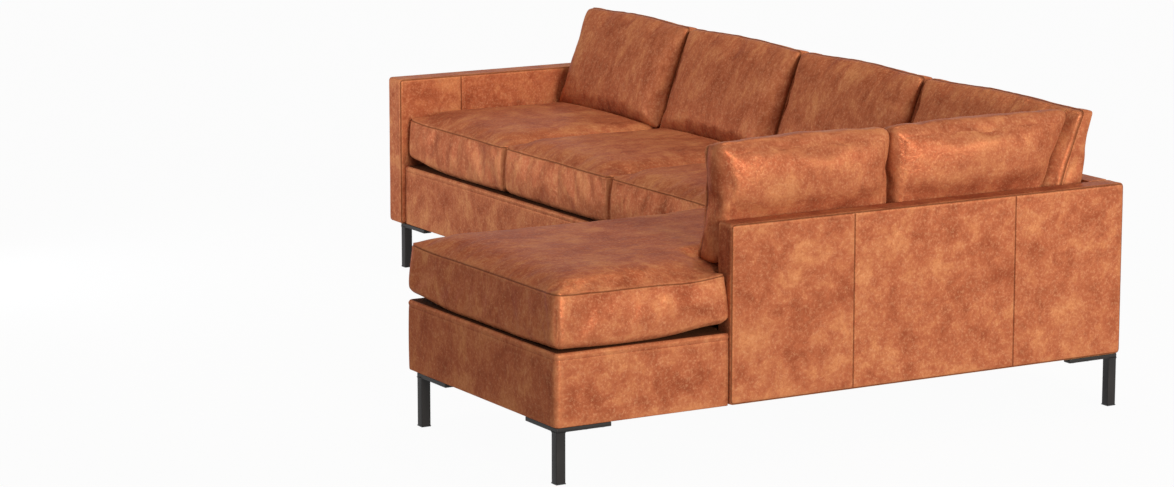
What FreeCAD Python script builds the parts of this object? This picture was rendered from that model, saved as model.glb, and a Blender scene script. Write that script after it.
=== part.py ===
import FreeCAD, Part
import math
import os
import Sketcher

# Sectional sofa with one track arm, a return with an open-ended bumper and loose leather cushions.
# +X runs along the long side towards the return, +Y to the rear and +Z up. The origin lies on the
# floor under the middle of the overall box. All sizes are in millimetres.

V = FreeCAD.Vector
doc = FreeCAD.newDocument("sectional_sofa")

SIZES = [
    # plan
    ("seat_width", 660, "one seat of the long side, and the corner seat"),
    ("seat_count", 3, "seats between the arm and the return"),
    ("arm_thickness", 90, "arm, outside to inside"),
    ("back_thickness", 75, "back, outside to inside"),
    ("main_depth", 815, "long side, front of the arm to the rear"),
    ("return_depth", 840, "return, left face to the outside of its back"),
    ("return_length", 1825, "return, front of the bumper to the rear"),
    ("bumper_length", 525, "seat that runs past the end of the side back"),
    ("bumper_setback", 10, "bumper side behind the outside of the side back"),
    ("base_setback", 18, "base front behind the arm's front"),
    ("module_gap", 1, "space between the two modules"),
    # heights
    ("leg_height", 150, "floor to the underside"),
    ("base_height", 197, "underside to the deck"),
    ("arm_height", 640, "floor to the top of the arm and back"),
    # upholstery
    ("leather_thickness", 3, "leather with its backing on arm and backs"),
    ("base_cover_thickness", 8, "leather with bonded wadding on the base"),
    ("base_corner_radius", 16, "upright outer corners of the base cover"),
    ("base_edge_radius", 7, "outer top edge of the base cover"),
    ("cover_edge_radius", 10, "outer edges of the arm and back covers"),
    ("padding_thickness", 12, "foam between panel and leather"),
    ("padding_gap", 0.3, "ease between foam and leather"),
    ("deck_thickness", 12, "deck pad"),
    ("dust_cover_thickness", 2, "cloth under the base"),
    ("overrun", 20, "how far a cutting block runs past a face"),
    # woodwork
    ("rail_thickness", 22, "seat rails"),
    ("middle_rail_count", 2, "cross rails between the end rails"),
    # springs
    ("wire_radius", 2, "sinuous spring wire"),
    ("spring_spacing", 150, "from spring to spring"),
    ("spring_amplitude", 60, "half width of a spring"),
    ("spring_pitch", 48, "from bend to bend along a spring"),
    ("spring_lead", 22, "least straight end, from the middle of a rail"),
    # seat cushions
    ("cushion_gap", 2, "between neighbouring cushions"),
    ("rest_gap", 0.3, "between a cushion and what it lies on"),
    ("seat_setback", 8, "cushion front behind the base front"),
    ("seat_thickness", 147, "seat cushion, bottom to top seam"),
    ("seat_crown", 23, "seat cushion, top seam to the top of its crown"),
    ("seat_round", 15, "seat cushion, rounding of the bottom edge"),
    ("seat_corner_radius", 24, "seat cushion, corners in plan"),
    ("notch_radius", 6, "bumper seat cushion, inside corner beside the side back"),
    ("seat_draw", 5, "how far the seams are drawn in between corners"),
    ("seat_slack", 1, "the same, half way up the boxing"),
    ("seat_crown_reach", 205, "edge to the flat top of the seat crown"),
    # back cushions
    ("main_bed", 20.4, "top seam of the seats to the foot of the long side's back cushions"),
    ("return_bed", 19.1, "the same for the return's back cushions"),
    ("cushion_height", 322, "back cushion, bottom to the top corners"),
    ("cushion_foot", 93, "back cushion thickness at the bottom"),
    ("cushion_head", 74, "back cushion thickness at the top"),
    ("cushion_crown", 35, "back cushion, front seam to the front of its crown"),
    ("cushion_round", 10, "back cushion, rounding of the rear edge"),
    ("cushion_corner_radius", 26, "back cushion, corners"),
    ("cushion_draw", 4, "how far the seams are drawn in between corners"),
    ("cushion_rise", 19, "how far the top edge bows up in the middle"),
    ("cushion_crown_reach", 118, "edge to the flat of the front crown"),
    ("main_lean", 15, "lean of the long side's back cushions, degrees"),
    ("return_lean", 5, "lean of the return's back cushions, degrees"),
    ("cushion_end_gap", 10, "side back's end to the first return cushion"),
    ("corner_clearance", 7, "corner cushions, one clear of the other"),
    ("shell_thickness", 2, "leather of a cushion cover"),
    ("core_gap", 0.3, "ease between a cushion's core and its cover"),
    # legs
    ("leg_width", 28, "square steel tube"),
    ("leg_wall", 2, "tube wall"),
    ("plate_thickness", 12, "flat bar on top of a leg"),
    ("plate_reach", 165, "corner to the end of each plate arm"),
    ("leg_inset", 4, "leg behind the base's outer face"),
    ("arm_leg_inset", 55, "left legs from the arm's outer face"),
    ("bumper_leg_inset", 52, "front left leg of the return from its left face"),
    ("hole_near", 95, "corner to the first screw"),
    ("hole_far", 145, "corner to the second screw"),
    ("glide_lip", 3, "foot of a glide under the tube"),
    ("glide_plug", 18, "part of a glide inside the tube"),
    ("glide_ease", 0.1, "ease between plug and tube"),
    # screws
    ("screw_radius", 2.5, "screw shank"),
    ("screw_length", 37, "screw under its head"),
    ("head_radius", 5, "screw head"),
    ("head_height", 3, "screw head"),
    ("screw_ease", 0.15, "screw hole beyond the shank"),
    # connectors
    ("bracket_thickness", 3, "steel of a connector"),
    ("bracket_width", 60, "connector along the joint"),
    ("tongue_width", 24, "receiver's tongue along the joint"),
    ("bracket_length", 52, "connector under its own module"),
    ("tongue_reach", 42, "receiver under the other module"),
    ("tongue_drop", 0.3, "receiver's tongue under the peg plate"),
    ("bracket_inset", 4, "connector from its module's end"),
    ("bracket_hole", 20, "middle of a connector to each of its screws"),
    ("riser_length", 13, "receiver, the part between its plate and its tongue"),
    ("peg_radius", 5, "connector peg"),
    ("peg_ease", 0.5, "hole of the receiver beyond the peg"),
    ("peg_length", 14, "connector peg below its plate"),
    ("peg_inset", 20, "peg from the return's left face"),
    ("connector_front", 240, "front connector behind the arm's front"),
    ("connector_spacing", 300, "from connector to connector"),
]

PLACES = [
    ("x_right", "(Sizes.arm_thickness + Sizes.seat_count * Sizes.seat_width + Sizes.return_depth) / 2"),
    ("x_left", "-x_right"),
    ("x_arm", "x_left + Sizes.arm_thickness"),
    ("x_joint", "x_right - Sizes.return_depth"),
    ("x_return", "x_joint + Sizes.module_gap"),
    ("x_side_back", "x_right - Sizes.back_thickness"),
    ("x_bumper", "x_right - Sizes.bumper_setback"),
    ("y_rear", "Sizes.return_length / 2"),
    ("y_front", "-y_rear"),
    ("y_back", "y_rear - Sizes.back_thickness"),
    ("y_arm", "y_rear - Sizes.main_depth"),
    ("y_base", "y_arm + Sizes.base_setback"),
    ("y_side_back", "y_front + Sizes.bumper_length"),
    ("y_bumper", "y_side_back - Sizes.module_gap"),
    ("y_split", "y_back - Sizes.seat_width"),
    ("z_deck", "Sizes.leg_height + Sizes.base_height"),
    ("z_spring", "z_deck - Sizes.deck_thickness - Sizes.wire_radius"),
    ("z_rail", "z_spring - Sizes.wire_radius"),
    ("z_wood", "Sizes.leg_height + Sizes.dust_cover_thickness"),
    ("rail_height", "z_rail - z_wood"),
    ("z_seat", "z_deck + Sizes.rest_gap"),
    ("z_main_cushion", "z_seat + Sizes.seat_thickness + Sizes.main_bed + Sizes.rest_gap"),
    ("z_return_cushion", "z_seat + Sizes.seat_thickness + Sizes.return_bed + Sizes.rest_gap"),
    ("cover_height", "Sizes.arm_height - Sizes.leg_height"),
    ("panel_inset", "Sizes.leather_thickness + Sizes.padding_thickness"),
]


def fill_sheet(name, rows):
    """One row per value: its alias as text, the value, and a note where there is one."""
    sheet = doc.addObject("Spreadsheet::Sheet", name)
    for number, row in enumerate(rows, 1):
        sheet.set(f"A{number}", row[0])
        content = row[1]
        sheet.set(f"B{number}", "=" + content if isinstance(content, str) else str(content))
        sheet.setAlias(f"B{number}", row[0])
        if len(row) > 2:
            sheet.set(f"C{number}", row[2])
    doc.recompute()
    return sheet


sizes = fill_sheet("Sizes", SIZES)
places = fill_sheet("Places", PLACES)
subparts = []


def size(alias):
    return float(getattr(sizes, alias))


def place(alias):
    return float(getattr(places, alias))


def keep(thing, label):
    """Name a finished sub-part: the label is also the name of its file."""
    thing.Label = label
    subparts.append(thing)
    return thing


def bind(thing, **expressions):
    for name, text in expressions.items():
        thing.setExpression(name.replace("__", "."), text)


def set_place(thing, x, y, z):
    bind(thing, Placement__Base__x=x, Placement__Base__y=y, Placement__Base__z=z)


# Woodwork, pads and cloths are plain blocks bound to the sheets.

def block(name, corner, extent):
    thing = doc.addObject("Part::Box", name)
    bind(thing, Length=extent[0], Width=extent[1], Height=extent[2])
    set_place(thing, *corner)
    return thing


def group(name, members):
    thing = doc.addObject("Part::Compound", name)
    thing.Links = members
    return thing


def join(name, members):
    thing = doc.addObject("Part::MultiFuse", name)
    thing.Shapes = members
    thing.Refine = True
    return thing


def cut(name, base, tool):
    thing = doc.addObject("Part::Cut", name)
    thing.Base = base
    thing.Tool = tool
    return thing


# Upholstered covers are pads with rounded edges.

def origin_plane(body, role):
    return next(feature for feature in body.Origin.OriginFeatures if feature.Role == role)


def draw_polygon(body, name, corners):
    """Closed sketch on the body's XY plane, each corner tied to a pair of expressions."""
    sketch = body.newObject("Sketcher::SketchObject", name)
    sketch.AttachmentSupport = [(origin_plane(body, "XY_Plane"), "")]
    sketch.MapMode = "FlatFace"
    doc.recompute()
    points = []
    for across, along in corners:
        points.append(V(evaluate(across), evaluate(along), 0))
    count = len(points)
    for number, point in enumerate(points):
        sketch.addGeometry(Part.LineSegment(point, points[(number + 1) % count]), False)
    for number in range(count):
        sketch.addConstraint(Sketcher.Constraint("Coincident", number, 2, (number + 1) % count, 1))
    for number, (across, along) in enumerate(corners):
        pin(sketch, number, "DistanceX", across, points[number].x)
        pin(sketch, number, "DistanceY", along, points[number].y)
    return sketch


def pin(sketch, number, direction, expression, value):
    """Hold the start of a line at a distance from the sketch's origin."""
    row = sketch.addConstraint(Sketcher.Constraint(direction, -1, 1, number, 1, value))
    if expression != "0":
        sketch.setExpression(f"Constraints[{row}]", expression)


def evaluate(expression):
    return float(places.evalExpression(expression))


def prism(name, corners, height):
    """Body with one pad: a polygon raised by a height."""
    body = doc.addObject("PartDesign::Body", name)
    sketch = draw_polygon(body, name + "_plan", corners)
    pad = body.newObject("PartDesign::Pad", name + "_pad")
    pad.Profile = sketch
    bind(pad, Length=height)
    doc.recompute()
    return body


def round_edges(body, radius, chosen):
    """Fillet the edges of the body's last feature for which chosen(start, end) is true."""
    base = body.Tip
    names = []
    for number, edge in enumerate(base.Shape.Edges, 1):
        ends = [vertex.Point for vertex in edge.Vertexes]
        if len(ends) == 2 and chosen(*ends):
            names.append(f"Edge{number}")
    fillet = body.newObject("PartDesign::Fillet", base.Name + "_round")
    fillet.Base = (base, names)
    bind(fillet, Radius=radius)
    doc.recompute()
    return body


def rectangle(length, width):
    return [("0", "0"), (length, "0"), (length, width), ("0", width)]


def rounded_cover(name, corner, extent, radius, open_ends):
    """Block with rounded top edges, and rounded uprights unless its X ends butt on a neighbour."""
    body = prism(name, rectangle(extent[0], extent[1]), extent[2])
    top = evaluate(extent[2])
    length = evaluate(extent[0])
    width = evaluate(extent[1])
    near = size("padding_gap")

    def end_is_free(value, limit, low, high):
        if abs(value) < near:
            return low
        return high if abs(value - limit) < near else False

    def chosen(start, end):
        middle = (start + end) / 2
        if abs(start.z - top) < near and abs(end.z - top) < near:
            free_x = end_is_free(middle.x, length, open_ends["x"][0], open_ends["x"][1])
            free_y = end_is_free(middle.y, width, open_ends["y"][0], open_ends["y"][1])
            return free_x or free_y
        if abs(start.z - end.z) > near:
            free_x = end_is_free(middle.x, length, open_ends["x"][0], open_ends["x"][1])
            free_y = end_is_free(middle.y, width, open_ends["y"][0], open_ends["y"][1])
            return free_x and free_y
        return False

    round_edges(body, radius, chosen)
    set_place(body, *corner)
    return body


def upholster(name, corner, plan, open_ends, tools):
    """Leather cover, foam and panel of one arm or back; plan holds length and width along X and Y."""
    skin = "Sizes.leather_thickness"
    foam = f"({skin} + Sizes.padding_gap)"
    inset = "Places.panel_inset"
    height = "Places.cover_height"
    outer = rounded_cover(name + "_outside", corner, (*plan, height), "Sizes.cover_edge_radius", open_ends)
    hollow = rounded_cover(
        name + "_hollow",
        (f"{corner[0]} + {skin}", f"{corner[1]} + {skin}", f"{corner[2]} - Sizes.overrun"),
        (f"{plan[0]} - 2 * {skin}", f"{plan[1]} - 2 * {skin}", f"{height} - {skin} + Sizes.overrun"),
        f"Sizes.cover_edge_radius - {skin}", open_ends)
    stuffing = rounded_cover(
        name + "_stuffing",
        (f"{corner[0]} + {foam}", f"{corner[1]} + {foam}", corner[2]),
        (f"{plan[0]} - 2 * {foam}", f"{plan[1]} - 2 * {foam}", f"{height} - {foam}"),
        f"Sizes.cover_edge_radius - {foam}", open_ends)
    panel_corner = (f"{corner[0]} + {inset}", f"{corner[1]} + {inset}", corner[2])
    panel_extent = (f"{plan[0]} - 2 * {inset}", f"{plan[1]} - 2 * {inset}", f"{height} - {inset}")
    panel = cut(name + "_wood", block(name + "_board", panel_corner, panel_extent), tools)
    foam_hole = block(name + "_board_room", panel_corner, panel_extent)
    cover = cut(name + "_leather", outer, hollow)
    padding = cut(name + "_foam", stuffing, foam_hole)
    return cover, padding, panel


# Screws, and the round holes that they pass through, come from one list of places for each module.

def leg_screw_places(x, y, turn_x, turn_y):
    spots = []
    half = size("leg_width") / 2
    for reach in (size("hole_near"), size("hole_far")):
        spots.append((x + turn_x * reach, y + turn_y * half))
        spots.append((x + turn_x * half, y + turn_y * reach))
    return spots


def cylinders(spots, radius, low, height):
    return [Part.makeCylinder(radius, height, V(x, y, low)) for x, y in spots]


def screw_set(label, leg_spots, bracket_spots):
    """Pan head screws with their heads against the plates."""
    solids = []
    for spots, seat in ((leg_spots, size("leg_height") - size("plate_thickness")),
                        (bracket_spots, size("leg_height") - size("bracket_thickness"))):
        shanks = cylinders(spots, size("screw_radius"), seat, size("screw_length"))
        heads = cylinders(spots, size("head_radius"), seat - size("head_height"), size("head_height"))
        solids += [shank.fuse(head) for shank, head in zip(shanks, heads)]
    thing = doc.addObject("Part::Feature", label)
    thing.Shape = Part.makeCompound(solids)
    return keep(thing, label)


def screw_room(name, leg_spots, bracket_spots):
    """Cutting tool for the screw holes in plates, cloth and wood."""
    low = size("leg_height") - size("plate_thickness") - size("overrun")
    height = size("screw_length") + size("plate_thickness") + 2 * size("overrun")
    radius = size("screw_radius") + size("screw_ease")
    thing = doc.addObject("Part::Feature", name)
    thing.Shape = Part.makeCompound(cylinders(leg_spots + bracket_spots, radius, low, height))
    return thing


MAIN_LEGS = [
    # name, outer corner X and Y, and the way that the plate's arms run
    ("main_leg_front_left", "Places.x_left + Sizes.arm_leg_inset", "Places.y_base", 1, 1),
    ("main_leg_front_right", "Places.x_joint - Sizes.leg_inset", "Places.y_base", -1, 1),
    ("main_leg_rear_left", "Places.x_left + Sizes.arm_leg_inset", "Places.y_rear - Sizes.leg_inset", 1, -1),
    ("main_leg_rear_right", "Places.x_joint - Sizes.leg_inset", "Places.y_rear - Sizes.leg_inset", -1, -1),
]
RETURN_LEGS = [
    ("return_leg_front_left", "Places.x_return + Sizes.bumper_leg_inset",
     "Places.y_front + Sizes.leg_inset", 1, 1),
    ("return_leg_front_right", "Places.x_bumper - Sizes.leg_inset",
     "Places.y_front + Sizes.leg_inset", -1, 1),
    ("return_leg_rear_left", "Places.x_return + Sizes.leg_inset",
     "Places.y_rear - Sizes.leg_inset", 1, -1),
    ("return_leg_rear_right", "Places.x_bumper - Sizes.leg_inset",
     "Places.y_rear - Sizes.leg_inset", -1, -1),
]
CONNECTORS = [
    ("front", "Places.y_arm + Sizes.connector_front"),
    ("rear", "Places.y_arm + Sizes.connector_front + Sizes.connector_spacing"),
]


def all_leg_spots(legs):
    spots = []
    for name, x, y, turn_x, turn_y in legs:
        spots += leg_screw_places(evaluate(x), evaluate(y), turn_x, turn_y)
    return spots


def bracket_spots(x):
    """Two screws per connector, one on each side of its middle."""
    spots = []
    for name, y in CONNECTORS:
        for side in (-1, 1):
            spots.append((x, evaluate(y) + side * size("bracket_hole")))
    return spots


main_leg_spots = all_leg_spots(MAIN_LEGS)
return_leg_spots = all_leg_spots(RETURN_LEGS)
main_bracket_spots = bracket_spots(place("x_joint") - size("rail_thickness") / 2)
return_bracket_spots = bracket_spots(
    place("x_return") + size("base_cover_thickness") + size("rail_thickness") / 2)
main_holes = screw_room("main_screw_room", main_leg_spots, main_bracket_spots)
return_holes = screw_room("return_screw_room", return_leg_spots, return_bracket_spots)

# Legs: a square tube under an L of flat bar, welded into one piece.

def leg(label, x, y, turn_x, turn_y, holes):
    width = "Sizes.leg_width"
    reach = "Sizes.plate_reach"
    plate = prism(label + "_plate", [
        ("0", "0"),
        (f"{turn_x} * {reach}", "0"),
        (f"{turn_x} * {reach}", f"{turn_y} * {width}"),
        (f"{turn_x} * {width}", f"{turn_y} * {width}"),
        (f"{turn_x} * {width}", f"{turn_y} * {reach}"),
        ("0", f"{turn_y} * {reach}"),
    ], "Sizes.plate_thickness")
    set_place(plate, x, y, "Sizes.leg_height - Sizes.plate_thickness")
    low_x = x if turn_x > 0 else f"{x} - {width}"
    low_y = y if turn_y > 0 else f"{y} - {width}"
    tube_height = "Sizes.leg_height - Sizes.plate_thickness - Sizes.glide_lip"
    tube = block(label + "_tube", (low_x, low_y, "Sizes.glide_lip"), (width, width, tube_height))
    bore_size = f"{width} - 2 * Sizes.leg_wall"
    bore = block(label + "_bore",
                 (f"{low_x} + Sizes.leg_wall", f"{low_y} + Sizes.leg_wall", "Sizes.glide_lip"),
                 (bore_size, bore_size, tube_height))
    pipe = cut(label + "_pipe", tube, bore)
    welded = join(label + "_welded", [plate, pipe])
    return keep(cut(label + "_drilled", welded, holes), label)


def glides(label, legs):
    """Plastic feet: a lip under each tube and a plug inside it."""
    members = []
    for name, x, y, turn_x, turn_y in legs:
        low_x = x if turn_x > 0 else f"{x} - Sizes.leg_width"
        low_y = y if turn_y > 0 else f"{y} - Sizes.leg_width"
        lip = block(name + "_lip", (low_x, low_y, "0"),
                    ("Sizes.leg_width", "Sizes.leg_width", "Sizes.glide_lip"))
        ease = "(Sizes.leg_wall + Sizes.glide_ease)"
        plug = block(name + "_plug", (f"{low_x} + {ease}", f"{low_y} + {ease}", "0"),
                     (f"Sizes.leg_width - 2 * {ease}", f"Sizes.leg_width - 2 * {ease}",
                      "Sizes.glide_lip + Sizes.glide_plug"))
        members.append(join(name + "_glide", [lip, plug]))
    return keep(group(label + "_set", members), label)


for name, x, y, turn_x, turn_y in MAIN_LEGS:
    leg(name, x, y, turn_x, turn_y, main_holes)
for name, x, y, turn_x, turn_y in RETURN_LEGS:
    leg(name, x, y, turn_x, turn_y, return_holes)
glides("main_glides", MAIN_LEGS)
glides("return_glides", RETURN_LEGS)
screw_set("main_screws", main_leg_spots, main_bracket_spots)
screw_set("return_screws", return_leg_spots, return_bracket_spots)


# Connectors: a peg under the return drops into a hole in a tongue under the long side.

def connectors():
    receivers = []
    pegs = []
    thick = "Sizes.bracket_thickness"
    half = "Sizes.bracket_width / 2"
    tongue_low = f"Sizes.leg_height - 2 * {thick} - Sizes.tongue_drop"
    for name, y in CONNECTORS:
        plate = block(f"receiver_{name}_plate",
                      ("Places.x_joint - Sizes.bracket_inset - Sizes.bracket_length",
                       f"{y} - {half}", f"Sizes.leg_height - {thick}"),
                      ("Sizes.bracket_length", "Sizes.bracket_width", thick))
        riser = block(f"receiver_{name}_riser",
                      ("Places.x_joint - Sizes.bracket_inset - Sizes.riser_length",
                       f"{y} - Sizes.tongue_width / 2", tongue_low),
                      ("Sizes.riser_length", "Sizes.tongue_width",
                       f"2 * {thick} + Sizes.tongue_drop"))
        tongue = block(f"receiver_{name}_tongue",
                       ("Places.x_joint - Sizes.bracket_inset", f"{y} - Sizes.tongue_width / 2",
                        tongue_low),
                       ("Sizes.bracket_inset + Sizes.module_gap + Sizes.tongue_reach",
                        "Sizes.tongue_width", thick))
        hole = doc.addObject("Part::Cylinder", f"receiver_{name}_hole")
        bind(hole, Radius="Sizes.peg_radius + Sizes.peg_ease", Height=thick)
        set_place(hole, "Places.x_return + Sizes.peg_inset", y, tongue_low)
        body = join(f"receiver_{name}_body", [plate, riser, tongue])
        receivers.append(cut(f"receiver_{name}", body, hole))
        peg_plate = block(f"peg_{name}_plate",
                          ("Places.x_return + Sizes.bracket_inset", f"{y} - {half}",
                           f"Sizes.leg_height - {thick}"),
                          ("Sizes.bracket_length", "Sizes.bracket_width", thick))
        peg = doc.addObject("Part::Cylinder", f"peg_{name}_pin")
        bind(peg, Radius="Sizes.peg_radius", Height=f"Sizes.peg_length + {thick}")
        set_place(peg, "Places.x_return + Sizes.peg_inset", y,
                  f"Sizes.leg_height - {thick} - Sizes.peg_length")
        pegs.append(join(f"peg_{name}", [peg_plate, peg]))
    drilled = cut("receivers_drilled", group("receivers", receivers), main_holes)
    keep(drilled, "connector_receivers")
    drilled = cut("pegs_drilled", group("pegs", pegs), return_holes)
    keep(drilled, "connector_pegs")


connectors()


# Seat rails. The rails of both modules reach from the cloth under them up to the springs.

COVER = "Sizes.base_cover_thickness"
RAIL = "Sizes.rail_thickness"
UNDER = "Sizes.leg_height"


def rail(name, x, y, length, width):
    return block(name, (x, y, "Places.z_wood"), (length, width, "Places.rail_height"))


def drilled_rails(label, rails, holes):
    members = group(label + "_set", rails) if len(rails) > 1 else rails[0]
    return keep(cut(label + "_drilled", members, holes), label)


def main_rails():
    length = "Places.x_joint - Places.x_arm"
    front = rail("main_front", "Places.x_arm", f"Places.y_base + {COVER}", length, RAIL)
    rear = rail("main_rear", "Places.x_arm", f"Places.y_back - {RAIL}", length, RAIL)
    drilled_rails("main_front_rail", [front], main_holes)
    drilled_rails("main_rear_rail", [rear], main_holes)
    crosses = []
    steps = int(size("middle_rail_count")) + 1
    for number in range(steps + 1):
        share = f"{number} / {steps}"
        crosses.append(rail(f"main_cross_{number}", f"Places.x_arm + ({length} - {RAIL}) * {share}",
                            f"Places.y_base + {COVER} + {RAIL}", RAIL,
                            f"Places.y_back - Places.y_base - {COVER} - 2 * {RAIL}"))
    drilled_rails("main_cross_rails", crosses, main_holes)


def return_rails():
    low_x = f"Places.x_return + {COVER}"
    low_y = f"Places.y_front + {COVER}"
    bumper_inside = f"Places.x_bumper - {COVER}"
    front = rail("return_front", low_x, low_y, f"{bumper_inside} - ({low_x})", RAIL)
    rear = rail("return_rear", low_x, f"Places.y_back - {RAIL}",
                f"Places.x_side_back - Places.x_return - {COVER}", RAIL)
    drilled_rails("return_front_rail", [front], return_holes)
    drilled_rails("return_rear_rail", [rear], return_holes)
    run = f"Places.y_back - Places.y_front - {COVER} - 2 * {RAIL}"
    start = f"{low_y} + {RAIL}"
    leg_middle = "Places.x_return + Sizes.bumper_leg_inset + Sizes.leg_width / 2"
    crosses = [
        rail("return_left", low_x, start, RAIL, run),
        rail("return_leg", f"{leg_middle} - {RAIL} / 2", start, RAIL, run),
        rail("return_right", f"Places.x_side_back - {RAIL}", start, RAIL, run),
        rail("return_bumper", f"{bumper_inside} - {RAIL}", start, RAIL,
             f"Places.y_bumper - Places.y_front - {COVER} - {RAIL}"),
    ]
    drilled_rails("return_cross_rails", crosses, return_holes)


main_rails()
return_rails()


# Sinuous springs: flat bars joined by half turns, one wire from rail to rail.

def spring_path(span):
    """Wire path along +Y from the origin: straight ends, and bars across joined by half turns."""
    turn = size("spring_pitch") / 2
    bars = int((span - 2 * size("spring_lead")) / size("spring_pitch"))
    lead = (span - bars * size("spring_pitch")) / 2
    reach = size("spring_amplitude") - turn
    slant = turn * math.cos(math.pi / 4)
    edges = [Part.makeLine(V(0, 0, 0), V(0, lead, 0))]
    edges.append(arc(V(0, lead, 0), V(turn - slant, lead + slant, 0), V(turn, lead + turn, 0)))
    here = V(turn, lead + turn, 0)
    side = 1
    for bar in range(1, bars):
        end = V(side * reach, here.y, 0)
        if abs(end.x - here.x) > size("wire_radius"):
            edges.append(Part.makeLine(here, end))
        else:
            end = here
        outer = V(end.x + side * turn, end.y + turn, 0)
        far = V(end.x, end.y + 2 * turn, 0)
        edges.append(arc(end, V(end.x + side * slant, end.y + turn - slant, 0), outer))
        edges.append(arc(outer, V(end.x + side * slant, end.y + turn + slant, 0), far))
        here = far
        side = -side
    last = V(-side * turn, here.y, 0)
    edges.append(Part.makeLine(here, last))
    top = V(0, here.y + turn, 0)
    edges.append(arc(last, V(-side * (turn - slant), here.y + turn - slant, 0), top))
    edges.append(Part.makeLine(top, V(0, span, 0)))
    return Part.Wire(edges)


def arc(start, middle, end):
    return Part.Arc(start, middle, end).toShape()


def spring_shape(span):
    path = spring_path(span)
    profile = Part.Wire([Part.makeCircle(size("wire_radius"), V(0, 0, 0), V(0, 1, 0))])
    return path.makePipeShell([profile], True, False)


def spring_row(label, span, start, step, count, turned):
    """Springs side by side. The long side's run along Y, the return's along X."""
    solids = []
    one = spring_shape(span)
    if turned:
        one.rotate(V(0, 0, 0), V(0, 0, 1), -90)
    for number in range(count):
        copy = one.copy()
        copy.translate(start + step * number)
        solids.append(copy)
    thing = doc.addObject("Part::Feature", label)
    thing.Shape = Part.makeCompound(solids)
    return keep(thing, label)


def springs():
    cover = size("base_cover_thickness")
    half_rail = size("rail_thickness") / 2
    z = place("z_spring")
    low = place("y_base") + cover + half_rail
    span = place("y_back") - half_rail - low
    run = place("x_joint") - place("x_arm")
    count = int(run / size("spring_spacing"))
    step = run / count
    spring_row("main_springs", span, V(place("x_arm") + step / 2, low, z), V(step, 0, 0), count, False)
    low = place("x_return") + cover + half_rail
    span = place("x_side_back") - half_rail - low
    first = place("y_front") + cover + size("rail_thickness")
    run = place("y_back") - size("rail_thickness") - first
    count = int(run / size("spring_spacing"))
    step = run / count
    spring_row("return_springs", span, V(low, first + step / 2, z), V(0, step, 0), count, True)


springs()


# Deck pads, cloths under the base and padded covers round it.

def main_slab(name, z, thickness):
    return block(name, ("Places.x_arm", f"Places.y_base + {COVER}", z),
                 ("Places.x_joint - Places.x_arm", f"Places.y_back - Places.y_base - {COVER}", thickness))


def return_slab(name, z, thickness):
    """Slab inside the return's cover: the full width in the bumper, narrower beside the back."""
    inner_x = f"(Places.x_return + {COVER})"
    inner_y = f"(Places.y_front + {COVER})"
    slab = prism(name, [
        ("0", "0"),
        (f"Places.x_bumper - {COVER} - {inner_x}", "0"),
        (f"Places.x_bumper - {COVER} - {inner_x}", f"Places.y_bumper - {inner_y}"),
        (f"Places.x_side_back - {inner_x}", f"Places.y_bumper - {inner_y}"),
        (f"Places.x_side_back - {inner_x}", f"Places.y_back - {inner_y}"),
        ("0", f"Places.y_back - {inner_y}"),
    ], thickness)
    set_place(slab, inner_x, inner_y, z)
    return slab


DECK_LOW = "Places.z_deck - Sizes.deck_thickness"
keep(main_slab("main_deck_slab", DECK_LOW, "Sizes.deck_thickness"), "main_deck_pad")
keep(return_slab("return_deck_slab", DECK_LOW, "Sizes.deck_thickness"), "return_deck_pad")
main_cloth = main_slab("main_cloth_slab", UNDER, "Sizes.dust_cover_thickness")
return_cloth = return_slab("return_cloth_slab", UNDER, "Sizes.dust_cover_thickness")
keep(cut("main_cloth_drilled", main_cloth, main_holes), "main_dust_cover")
keep(cut("return_cloth_drilled", return_cloth, return_holes), "return_dust_cover")


def main_base_cover():
    """Padded leather along the front rail."""
    body = prism("main_base", rectangle("Places.x_joint - Places.x_arm", COVER), "Sizes.base_height")
    top = size("base_height")
    near = size("padding_gap")

    def front_top(start, end):
        return all(abs(point.z - top) < near and abs(point.y) < near for point in (start, end))

    round_edges(body, "Sizes.base_edge_radius", front_top)
    set_place(body, "Places.x_arm", "Places.y_base", "Sizes.leg_height")
    return keep(body, "main_base_cover")


def return_base_cover():
    """Padded leather round the left, front and bumper sides, one band open towards the side back."""
    length = "Places.x_bumper - Places.x_return"
    left_run = "Places.y_back - Places.y_front"
    right_run = "Places.y_bumper - Places.y_front"
    body = prism("return_base", [
        ("0", "0"),
        (length, "0"),
        (length, right_run),
        (f"{length} - {COVER}", right_run),
        (f"{length} - {COVER}", COVER),
        (COVER, COVER),
        (COVER, left_run),
        ("0", left_run),
    ], "Sizes.base_height")
    top = size("base_height")
    far = evaluate(length)
    end = evaluate(right_run)
    near = size("padding_gap")

    def corner_uprights(start, end_point):
        upright = abs(start.z - end_point.z) > near
        return upright and abs(start.y) < near and (abs(start.x) < near or abs(start.x - far) < near)

    def outer_top(start, end_point):
        """Top edges of the outer face: not the inner line, nor the two short ends of the band."""
        if abs(start.z - top) > near or abs(end_point.z - top) > near:
            return False
        middle = (start + end_point) / 2
        at_end = abs(middle.y - end) < near or abs(middle.y - evaluate(left_run)) < near
        outer = abs(middle.x) < corner or abs(middle.x - far) < corner or abs(middle.y) < corner
        inner = size("base_cover_thickness")
        inside = (abs(middle.x - inner) < near or abs(middle.x - far + inner) < near
                  or abs(middle.y - inner) < near)
        return outer and not inside and not at_end

    corner = size("base_corner_radius")
    round_edges(body, "Sizes.base_corner_radius", corner_uprights)
    round_edges(body, "Sizes.base_edge_radius", outer_top)
    set_place(body, "Places.x_return", "Places.y_front", "Sizes.leg_height")
    return keep(body, "return_base_cover")


main_base_cover()
return_base_cover()


# Arm and backs. Each entry says which ends along X and Y are free and so rounded.

FREE = (True, True)
BOUND = (False, False)

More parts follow.
